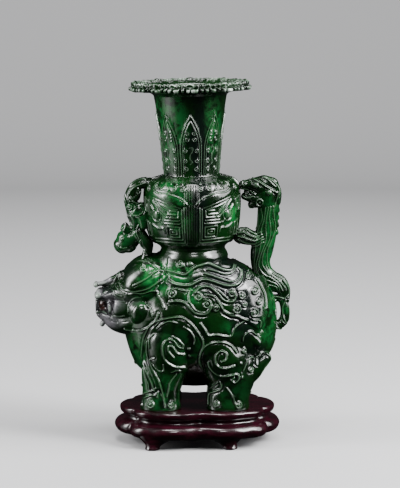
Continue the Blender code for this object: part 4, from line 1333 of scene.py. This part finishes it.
@dataclass(frozen=True)
class Stand(Maker):
    """The moulded rosewood stand: a plate over a waist, a wide band, an apron and bracket feet."""

    section_rows: int = 60
    foot_rows: int = 24
    centre_x: float = 4.5
    turn_degrees: float = 3.0
    around: int = 360
    # A foot keeps one in so many of the plate's angles
    foot_every: int = 4
    squareness: float = 2.6
    voxel: float = 0.5
    passes: int = 3
    most: int = 120_000
    section: Rows = (
        (50, 36, 7), (55.4, 39.6, 7.6), (57.8, 41.6, 10.2), (58.2, 42, 12.8), (56.2, 40.2, 15.6),
        (51.6, 36, 17.4), (50.8, 35.4, 19.6), (53.8, 38, 21.4), (54.6, 38.8, 24.6), (53.2, 37.6, STAND_TOP),
    )
    cusps: Sequence[float] = (30, 150, 210, 330)
    cusp_depth: float = 0.11
    # Beside a cusp the plan climbs along the first half of a sine arch of so many degrees, to this power
    arch_degrees: float = 60
    arch_power: float = 0.6
    # Soft dips: degrees from the middle of the front or back, depth, and reach in degrees
    dips: Rows = ((0, 0.10, 11), (34, 0.022, 6))
    feet: Rows = ((-31, -31), (19.5, -31))
    # Half length, half width, height, and how far the section moves out from the foot's spot
    foot_section: Rows = (
        (4.4, 3.8, 0, 1.6), (5.2, 4.6, 0.8, 1.8), (5.0, 4.4, 2.0, 1.4), (6.4, 5.0, 4.0, 0.4),
        (10.6, 6.6, 6.6, -1.0), (13.6, 7.6, 8.8, -2), (13.6, 7.6, 10.5, -2),
    )

    def build(self) -> bpy.types.Object:
        """Build the stand, turned and set under the beast.

        Returns:
            The stand's piece.
        """
        shells = Shells()
        angle = np.linspace(0, 2 * math.pi, self.around, endpoint=False)
        middle = smooth_rows(self.section, self.section_rows)
        section = np.vstack([self.section[0], middle, self.section[-1]])
        section[:, 2] = np.clip(section[:, 2], self.section[0][2], STAND_TOP)
        reach = self._reach(angle)
        plan = np.stack([reach * np.cos(angle), reach * np.sin(angle), np.ones_like(angle)], axis=1)
        shells.add_rings(plan[None, :, :] * section[:, None, :])
        for x, y in self.feet:
            for side in SIDES:
                foot = smooth_rows(self.foot_section, self.foot_rows)[:, None, :]
                round_plan = np.stack([np.cos(angle), np.sin(angle), np.ones_like(angle)], axis=1)
                away = foot[:, :, 3:] * np.sign((side * x, side * y, 0))
                rings = round_plan[None, ::self.foot_every, :] * foot[:, :, :3] + (side * x, side * y, 0)
                shells.add_rings(rings + away)
        skin = Skin.fused(shells, self.voxel, self.passes)
        skin.points[:, 2] = np.clip(skin.points[:, 2], 0, STAND_TOP)
        turn = math.radians(self.turn_degrees)
        cos, sin = math.cos(turn), math.sin(turn)
        matrix = np.array(((cos, -sin, 0), (sin, cos, 0), (0, 0, 1)))
        skin.move(matrix, (0, 0, 0), (self.centre_x, 0, 0))
        return finish_piece("stand", skin, np.zeros((2, len(skin.points))), self.most)

    def _reach(self, angle: Array) -> Array:
        """The plan's reach as a share of its ellipse: squared at its corners, with lobes between its cusps.

        Soft dips in the shape of a bell curve part the front and the back into lobes of their own.
        """
        cusps = np.radians((*self.cusps, self.cusps[0] + 360))
        at = np.mod(angle - cusps[0], 2 * math.pi) + cusps[0]
        slot = np.clip(np.searchsorted(cusps, at, side="right") - 1, 0, len(self.cusps) - 1)
        near = np.minimum(at - cusps[slot], cusps[slot + 1] - at) / np.radians(self.arch_degrees)
        cusp = self.cusp_depth * (1 - np.sin(math.pi * np.clip(near, 0, 0.5)) ** self.arch_power)
        off = np.degrees(np.arccos(np.abs(np.sin(angle))))
        dip = sum(depth * np.exp(-(((off - middle) / reach) ** 2)) for middle, depth, reach in self.dips)
        squared = np.abs(np.cos(angle)) ** self.squareness + np.abs(np.sin(angle)) ** self.squareness
        return squared ** (-1 / self.squareness) * (1 - cusp - dip)


# ---------------------------------------------------------------------------------------------------------
# Finishes


Operand = "Value | float"


@dataclass(frozen=True)
class Value:
    """A number or vector that a shader node gives, with arithmetic of its own."""

    graph: "Graph"
    socket: bpy.types.NodeSocket

    def __add__(self, other: Operand) -> "Value":
        """This plus other."""
        return self.graph.math("ADD", self, other)

    def __radd__(self, other: float) -> "Value":
        """Other plus this."""
        return self.graph.math("ADD", other, self)

    def __sub__(self, other: Operand) -> "Value":
        """This less other."""
        return self.graph.math("SUBTRACT", self, other)

    def __rsub__(self, other: float) -> "Value":
        """Other less this."""
        return self.graph.math("SUBTRACT", other, self)

    def __mul__(self, other: Operand) -> "Value":
        """This times other."""
        return self.graph.math("MULTIPLY", self, other)

    def __rmul__(self, other: float) -> "Value":
        """Other times this."""
        return self.graph.math("MULTIPLY", other, self)


@dataclass(frozen=True)
class Grain:
    """The look of a noise: its scale in waves a millimetre, its detail and its distortion."""

    scale: float
    detail: float
    distortion: float = 0.0


class Graph:
    """A material's nodes, built through a few typed calls."""

    def __init__(self, name: str) -> None:
        """Make an empty material."""
        self.material = bpy.data.materials.new(name)
        self.material.use_nodes = True
        self.tree = self.material.node_tree
        self.tree.nodes.clear()

    def node(self, kind: str, settings: dict[str, object], inputs: dict[str | int, object]) -> bpy.types.Node:
        """Add a node, apply its settings, then fill its inputs.

        Args:
            kind: The node's type.
            settings: Attributes to set.
            inputs: Values, or numbers and tuples, for its sockets by name or place.

        Returns:
            The node.
        """
        node = self.tree.nodes.new(kind)
        for name, setting in settings.items():
            setattr(node, name, setting)
        for key, value in inputs.items():
            if isinstance(value, Value):
                self.tree.links.new(value.socket, node.inputs[key])
            else:
                node.inputs[key].default_value = value
        return node

    def value(
        self, kind: str, settings: dict[str, object], inputs: dict[str | int, object], out: str | int = 0
    ) -> Value:
        """Add a node and take one of its outputs."""
        return Value(self, self.node(kind, settings, inputs).outputs[out])

    def math(self, operation: str, first: Operand, second: Operand = 0.0) -> Value:
        """Arithmetic on two numbers."""
        return self.value("ShaderNodeMath", {"operation": operation}, {0: first, 1: second})

    def vector(
        self, operation: str, first: Value | Place, second: Value | Place, out: str | int = 0
    ) -> Value:
        """Arithmetic on two vectors."""
        return self.value("ShaderNodeVectorMath", {"operation": operation}, {0: first, 1: second}, out)

    def mix(self, share: Operand, first: Value | Colour, second: Value | Colour) -> Value:
        """A colour between two colours."""
        settings = {"data_type": "RGBA", "clamp_factor": True}
        return self.value("ShaderNodeMix", settings, {0: share, 6: first, 7: second}, 2)

    def ramp(self, value: Value, low: float, high: float) -> Value:
        """A smooth rise from 0 at low to 1 at high."""
        settings = {"interpolation_type": "SMOOTHSTEP"}
        return self.value("ShaderNodeMapRange", settings, {"Value": value, "From Min": low, "From Max": high})

    def noise(self, place: Value, grain: Grain) -> Value:
        """Fractal noise, as a number about one half."""
        inputs = {
            "Vector": place, "Scale": grain.scale, "Detail": grain.detail, "Distortion": grain.distortion,
        }
        return self.value("ShaderNodeTexNoise", {}, inputs)

    def millimetres(self) -> Value:
        """Object coordinates in millimetres."""
        place = self.value("ShaderNodeTexCoord", {}, {}, "Object")
        return self.vector("MULTIPLY", place, (1 / MM, 1 / MM, 1 / MM))

    def finish(self, shader: bpy.types.Node) -> bpy.types.Material:
        """Lead a shader to the material's output."""
        self.node("ShaderNodeOutputMaterial", {}, {"Surface": Value(self, shader.outputs[0])})
        return self.material


@dataclass(frozen=True)
class Cloud:
    """A region of the stone in its own colour: its middle, its three half sizes and how fully it shows."""

    middle: Place
    half: Place
    share: float = 1.0


@dataclass(frozen=True)
class GreenStone:
    """Deep green polished stone, near black in clouds and veins and brighter in others; its line crests, the
    rim's edge and a few spots carry painted highlights, and its jaw a painted sheen.
    """

    name: str = "deep_green_stone"
    dark: Colour = (0.0016, 0.0060, 0.0034, 1)
    deep: Colour = (0.0005, 0.0070, 0.0010, 1)
    green: Colour = (0.0017, 0.0230, 0.0024, 1)
    bright: Colour = (0.0150, 0.2000, 0.0420, 1)
    # Pale green painted on the crests of the carved lines: a painted highlight
    painted_crest_highlight: Colour = (0.16, 0.27, 0.17, 1)
    russet: Colour = (0.040, 0.012, 0.007, 1)
    pale: Colour = (0.270, 0.260, 0.285, 1)
    # A near white colour for painted glints: on the brightest line crests, on the rim's edge and in the
    # painted highlight spots
    glint: Colour = (0.55, 0.62, 0.56, 1)
    coarse: Grain = Grain(0.035, 5.0, 0.6)
    fine: Grain = Grain(0.16, 6.0, 0.4)
    vein: Grain = Grain(0.06, 7.0, 1.2)
    # How far the coarse and the fine noise push a cloud's edges, in half sizes of the cloud, and the part of
    # that push that the pale stone and painted sheen clouds, the russet cloud and the painted highlight
    # clouds take
    coarse_push: float = 1.6
    fine_push: float = 0.9
    pale_push: float = 0.5
    russet_push: float = 0.4
    painted_highlight_push: float = 0.2
    # Where each part of the pattern sets in and is full
    green_rise: Rise = (0.40, 0.60)
    bright_rise: Rise = (0.35, 0.6)
    vein_rise: Rise = (0.60, 0.70)
    pale_rise: Rise = (0.4, 0.6)
    cloud_fall: Rise = (0.55, 1.25)
    painted_crest_highlight_rise: Rise = (0.35, 1.0)
    glint_rise: Rise = (1.0, 2.0)
    coarse_share: float = 0.7
    fine_share: float = 0.3
    vein_share: float = 0.75
    pale_share: float = 0.5
    painted_crest_highlight_share: float = 0.42
    roughness: float = 0.19
    roughness_spread: float = 0.10
    index: float = 1.75
    black_clouds: tuple[Cloud, ...] = (
        Cloud((-62, 0, 101), (15, 40, 15)),
        Cloud((-45, 0, 122), (12, 40, 7), 0.7),
        Cloud((6, -30, 198), (6, 30, 62)),
        Cloud((25, -25, 116), (22, 28, 15)),
        Cloud((37, -25, 97), (13, 26, 18), 0.95),
        Cloud((46, -20, 65), (8, 30, 9), 0.8),
        Cloud((42, 0, 170), (9, 20, 5), 0.4),
    )
    bright_clouds: tuple[Cloud, ...] = (
        Cloud((-22, -20, 118), (17, 30, 13), 0.85),
        Cloud((-10, -20, 122), (14, 30, 8), 0.7),
        Cloud((29, -20, 163), (9, 30, 10), 0.7),
        Cloud((3, -20, 107), (9, 30, 9), 0.8),
        Cloud((-16, -30, 168), (20, 30, 24), 0.45),
        # This cloud on the neck's left is partly green stone and partly a painted sheen of a softbox
        Cloud((-16, -20, 222), (14, 30, 34), 0.52),
        Cloud((14, -20, 226), (8, 30, 22), 0.35),
        Cloud((-46, -6, 144), (14, 20, 14), 0.4),
        Cloud((-38, -6, 160), (10, 20, 14), 0.36),
        Cloud((55, -6, 150), (12, 20, 34), 0.38),
        Cloud((62, -6, 100), (10, 20, 18), 0.4),
        Cloud((54, -20, 84), (8, 34, 18), 0.35),
        Cloud((-6, -20, 66), (20, 34, 20), 0.22),
        Cloud((-37, -10, 70), (8, 34, 28), 0.4),
        Cloud((-22, -25, 42), (16, 30, 20), 0.26),
        Cloud((26, -25, 42), (14, 30, 16), 0.14),
        Cloud((-32, -20, 104), (12, 30, 6), 0.35),
        Cloud((30, -20, 86), (14, 30, 7), 0.3),
    )
    # Pale grey stone on the muzzle and beside the cheek, the muzzle made paler as painted light, and painted
    # sheen: a painted highlight along the blade and on the nose, and a painted sheen on the jaw
    pale_and_sheen_clouds: tuple[Cloud, ...] = (
        Cloud((-61, 0, 113.8), (10, 8, 2.6)),
        Cloud((-65, 0, 104.6), (4.6, 16, 4)),
        Cloud((-55, 0, 86.5), (14, 22, 6.8), 0.85),
        Cloud((-53, 0, 99), (12, 24, 9), 0.85),
        Cloud((-40, 0, 102.6), (12, 26, 6), 0.3),
    )
    # Spots painted near white: painted highlights on the nose, the fang, the blade and its tip, the chin's
    # bead and the dragon's bead
    painted_highlight_clouds: tuple[Cloud, ...] = (
        Cloud((-65.6, 0, 104.8), (3.2, 16, 3.2), 0.5),
        Cloud((-56.3, 0, 95.8), (1.3, 26, 2.4), 0.7),
        Cloud((-67.4, 0, 110.2), (2.4, 8, 2.4), 0.7),
        Cloud((-60, 0, 111.8), (8, 8, 1.6), 0.3),
        Cloud((-62.4, 0, 81.8), (2.4, 6, 2.4), 0.6),
        Cloud((55.2, 0, 119.6), (2, 30, 2), 0.7),
    )
    russet_cloud: Cloud = Cloud((-61.4, 0, 96.8), (5.2, 10.4, 4.6))

    def dress(self) -> bpy.types.Material:
        """Build the stone's material.

        Returns:
            The material.
        """
        graph = Graph(self.name)
        place = graph.millimetres()
        coarse = graph.noise(place, self.coarse)
        fine = graph.noise(place, self.fine)
        warp = (coarse - 0.5) * self.coarse_push + (fine - 0.5) * self.fine_push
        blend = coarse * self.coarse_share + fine * self.fine_share
        colour = graph.mix(graph.ramp(blend, *self.green_rise), self.deep, self.green)
        bright = self._clouds(graph, place, warp, self.bright_clouds)
        colour = graph.mix(bright * graph.ramp(fine, *self.bright_rise), colour, self.bright)
        black = self._clouds(graph, place, warp, self.black_clouds)
        colour = graph.mix(black, colour, self.dark)
        veins = graph.ramp(graph.noise(place, self.vein), *self.vein_rise)
        colour = graph.mix(veins * self.vein_share, colour, self.dark)
        # Pale grey stone, and painted sheen on the jaw, the nose and the blade
        pale = self._clouds(graph, place, warp * self.pale_push, self.pale_and_sheen_clouds)
        colour = graph.mix(pale * (self.pale_share + graph.ramp(fine, *self.pale_rise)), colour, self.pale)
        russet = self._clouds(graph, place, warp * self.russet_push, (self.russet_cloud,))
        colour = graph.mix(russet, colour, self.russet)
        # Painted highlights as near white spots
        painted_highlight = self._clouds(graph, place, warp * self.painted_highlight_push, self.painted_highlight_clouds)
        colour = graph.mix(painted_highlight, colour, self.glint)
        crest = graph.value("ShaderNodeAttribute", {"attribute_name": CREST}, {}, "Fac")
        # Line crests are painted pale green and the brightest crests near white: painted highlights along the
        # carved lines and on the rim's edge
        colour = graph.mix(graph.ramp(crest, *self.painted_crest_highlight_rise) * self.painted_crest_highlight_share, colour, self.painted_crest_highlight)
        colour = graph.mix(graph.ramp(crest, *self.glint_rise), colour, self.glint)
        rough = self.roughness + (fine - 0.5) * self.roughness_spread
        inputs = {"Base Color": colour, "Roughness": rough, "IOR": self.index}
        return graph.finish(graph.node("ShaderNodeBsdfPrincipled", {}, inputs))

    def _clouds(self, graph: Graph, place: Value, warp: Value, clouds: tuple[Cloud, ...]) -> Value:
        """How fully each point lies in any of the clouds, with their edges pushed about by noise."""
        total: Value | None = None
        for cloud in clouds:
            offset = graph.vector("SUBTRACT", place, cloud.middle)
            reach = graph.vector("LENGTH", graph.vector("DIVIDE", offset, cloud.half), (0, 0, 0), "Value")
            share = (1.0 - graph.ramp(reach + warp, *self.cloud_fall)) * cloud.share
            total = share if total is None else graph.math("MAXIMUM", total, share)
        return total


@dataclass(frozen=True)
class Rosewood:
    """Dark red lacquered wood with a grain along its length."""

    name: str = "dark_rosewood"
    dark: Colour = (0.0070, 0.0010, 0.0022, 1)
    light: Colour = (0.0300, 0.0024, 0.0082, 1)
    stretch: Place = (0.12, 1, 1)
    grain: Grain = Grain(0.35, 5.0, 1.0)
    fibre: Grain = Grain(1.8, 3.0)
    grain_share: float = 0.75
    fibre_share: float = 0.25
    light_rise: Rise = (0.38, 0.62)
    roughness: float = 0.24
    roughness_spread: float = 0.12
    coat: float = 0.6
    coat_roughness: float = 0.14

    def dress(self) -> bpy.types.Material:
        """Build the wood's material.

        Returns:
            The material.
        """
        graph = Graph(self.name)
        place = graph.millimetres()
        stretched = graph.vector("MULTIPLY", place, self.stretch)
        grain = graph.noise(stretched, self.grain)
        fibre = graph.noise(stretched, self.fibre)
        blend = grain * self.grain_share + fibre * self.fibre_share
        colour = graph.mix(graph.ramp(blend, *self.light_rise), self.dark, self.light)
        rough = self.roughness + (fibre - 0.5) * self.roughness_spread
        inputs = {
            "Base Color": colour, "Roughness": rough, "Coat Weight": self.coat,
            "Coat Roughness": self.coat_roughness,
        }
        return graph.finish(graph.node("ShaderNodeBsdfPrincipled", {}, inputs))


@dataclass(frozen=True)
class PaleFloor:
    """Plain matt light grey for the floor."""

    name: str = "pale_floor"
    colour: Colour = (0.62, 0.62, 0.63, 1)
    roughness: float = 0.7
    specular: float = 0.2

    def dress(self) -> bpy.types.Material:
        """Build the floor's material.

        Returns:
            The material.
        """
        graph = Graph(self.name)
        inputs = {
            "Base Color": self.colour, "Roughness": self.roughness, "Specular IOR Level": self.specular,
        }
        return graph.finish(graph.node("ShaderNodeBsdfPrincipled", {}, inputs))


# ---------------------------------------------------------------------------------------------------------
# Studio


@dataclass(frozen=True)
class Lamp:
    """A softbox: its name, place and size in metres, its power in watts and the point it faces."""

    name: str
    place: Place
    size: tuple[float, float]
    power: float
    aim: Place = (0.0, 0.0, 0.13)

    def build(self) -> None:
        """Hang the softbox in the scene."""
        data = bpy.data.lights.new(self.name, "AREA")
        data.shape = "ELLIPSE"
        data.size, data.size_y = self.size
        data.energy = self.power
        lamp = bpy.data.objects.new(self.name, data)
        lamp.location = self.place
        lamp.rotation_euler = facing(self.place, self.aim)
        bpy.context.scene.collection.objects.link(lamp)


def facing(place: Place, aim: Place) -> tuple[float, float, float]:
    """The turn that points a lamp or camera at its aim, upright."""
    x, y, z = (a - p for a, p in zip(aim, place))
    return (math.atan2(math.hypot(x, y), -z), 0.0, math.atan2(y, x) - math.pi / 2)


@dataclass(frozen=True)
class Studio:
    """A pale round floor that curves up into a backdrop all round, soft lamps and the camera."""

    target: Place = (0.0065, 0.0, 0.139)
    distance: float = 1.4
    elevation: float = 8.0
    field_of_view: float = 13.9
    world_colour: Colour = (0.9, 0.95, 1.0, 1)
    world_strength: float = 0.02
    floor_middle: float = 0.01
    floor_radius: float = 1.6
    floor_bend: float = 0.7
    floor_top: float = 3.2
    floor_rows: int = 24
    floor_sides: int = 96
    lamps: tuple[Lamp, ...] = (
        Lamp("left_panel", (-0.80, -0.17, 0.08), (0.30, 1.00), 0.6),
        Lamp("left_fill", (-0.82, -0.17, 0.08), (0.80, 1.30), 1.5),
        Lamp("left_softbox", (-0.74, -0.18, 0.46), (0.16, 0.46), 3.2),
        Lamp("left_glow", (-0.76, -0.18, 0.46), (0.46, 0.80), 5.0),
        Lamp("right_panel", (0.68, -0.18, 0.60), (0.58, 1.15), 14.0),
        Lamp("right_softbox", (0.60, -0.34, 0.66), (0.26, 0.50), 8.0),
        Lamp("front_softbox", (0.05, -0.78, 0.86), (0.30, 0.16), 2.6),
        Lamp("top_softbox", (-0.10, -0.22, 0.98), (0.34, 0.24), 3.6),
        Lamp("backdrop_softbox", (0.0, 0.50, 1.40), (1.2, 0.4), 26.0, (0.0, 2.0, 0.5)),
        Lamp("rear_softbox", (0.0, -0.50, 1.50), (1.2, 0.4), 12.0, (0.0, -2.2, 0.5)),
    )

    def build(self) -> None:
        """Set the floor, the lamps, the world and the camera."""
        self._floor()
        for lamp in self.lamps:
            lamp.build()
        world = bpy.data.worlds.new("studio")
        world.use_nodes = True
        background = world.node_tree.nodes["Background"]
        background.inputs["Color"].default_value = self.world_colour
        background.inputs["Strength"].default_value = self.world_strength
        bpy.context.scene.world = world
        self._camera()

    def _floor(self) -> None:
        """Lay the floor: a disc that is level under the object and curves up into a round wall."""
        bend = np.linspace(0, math.pi / 2, self.floor_rows)
        border = (self.floor_radius + self.floor_bend * np.sin(bend), self.floor_bend * (1 - np.cos(bend)))
        wall = (self.floor_radius + self.floor_bend, self.floor_top)
        profile = np.vstack([(self.floor_middle, 0.0), np.stack(border, axis=1), wall])
        around = np.linspace(0, 2 * math.pi, self.floor_sides, endpoint=False)
        plan = np.stack([np.cos(around), np.sin(around)], axis=1)
        rings = np.concatenate([
            profile[:, None, :1] * plan, np.broadcast_to(profile[:, None, 1:], (len(profile), len(plan), 1)),
        ], axis=2)
        points = np.vstack([(0, 0, 0), rings.reshape(-1, 3)]) / MM
        ring = 1 + np.arange(len(plan))
        centre = np.stack([np.zeros_like(ring), ring, np.roll(ring, -1)], axis=1)
        mesh = make_mesh("floor", points, 1 + grid_quads(len(profile), len(plan)), centre)
        mesh.shade_smooth()
        mesh.materials.append(PaleFloor().dress())
        floor = link("floor", mesh)
        floor.visible_glossy = False
        floor.visible_diffuse = False

    def _camera(self) -> None:
        """Set the camera in front of the shown side, a little above the object's middle."""
        data = bpy.data.cameras.new("camera")
        data.sensor_fit = "VERTICAL"
        data.angle = math.radians(self.field_of_view)
        rise = math.radians(self.elevation)
        x, y, z = self.target
        place = (x, y - self.distance * math.cos(rise), z + self.distance * math.sin(rise))
        camera = bpy.data.objects.new("camera", data)
        camera.location = place
        camera.rotation_euler = facing(place, self.target)
        bpy.context.scene.collection.objects.link(camera)
        bpy.context.scene.camera = camera


# ---------------------------------------------------------------------------------------------------------
# The scene


def main() -> None:
    """Build every piece, dress it and set up the studio; each piece's count of triangles is logged."""
    logging.basicConfig(level=logging.INFO, format="%(message)s")
    stone = GreenStone().dress()
    for maker in (Vase(), Beast(), DRAGON, CUB):
        piece = maker.build()
        maker.dress(piece, stone)
        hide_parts(CARVING_NODE)
    joinery = Stand()
    stand = joinery.build()
    joinery.dress(stand, Rosewood().dress())
    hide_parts(STAND_NODE)
    Studio().build()


if __name__ == "__main__":
    main()
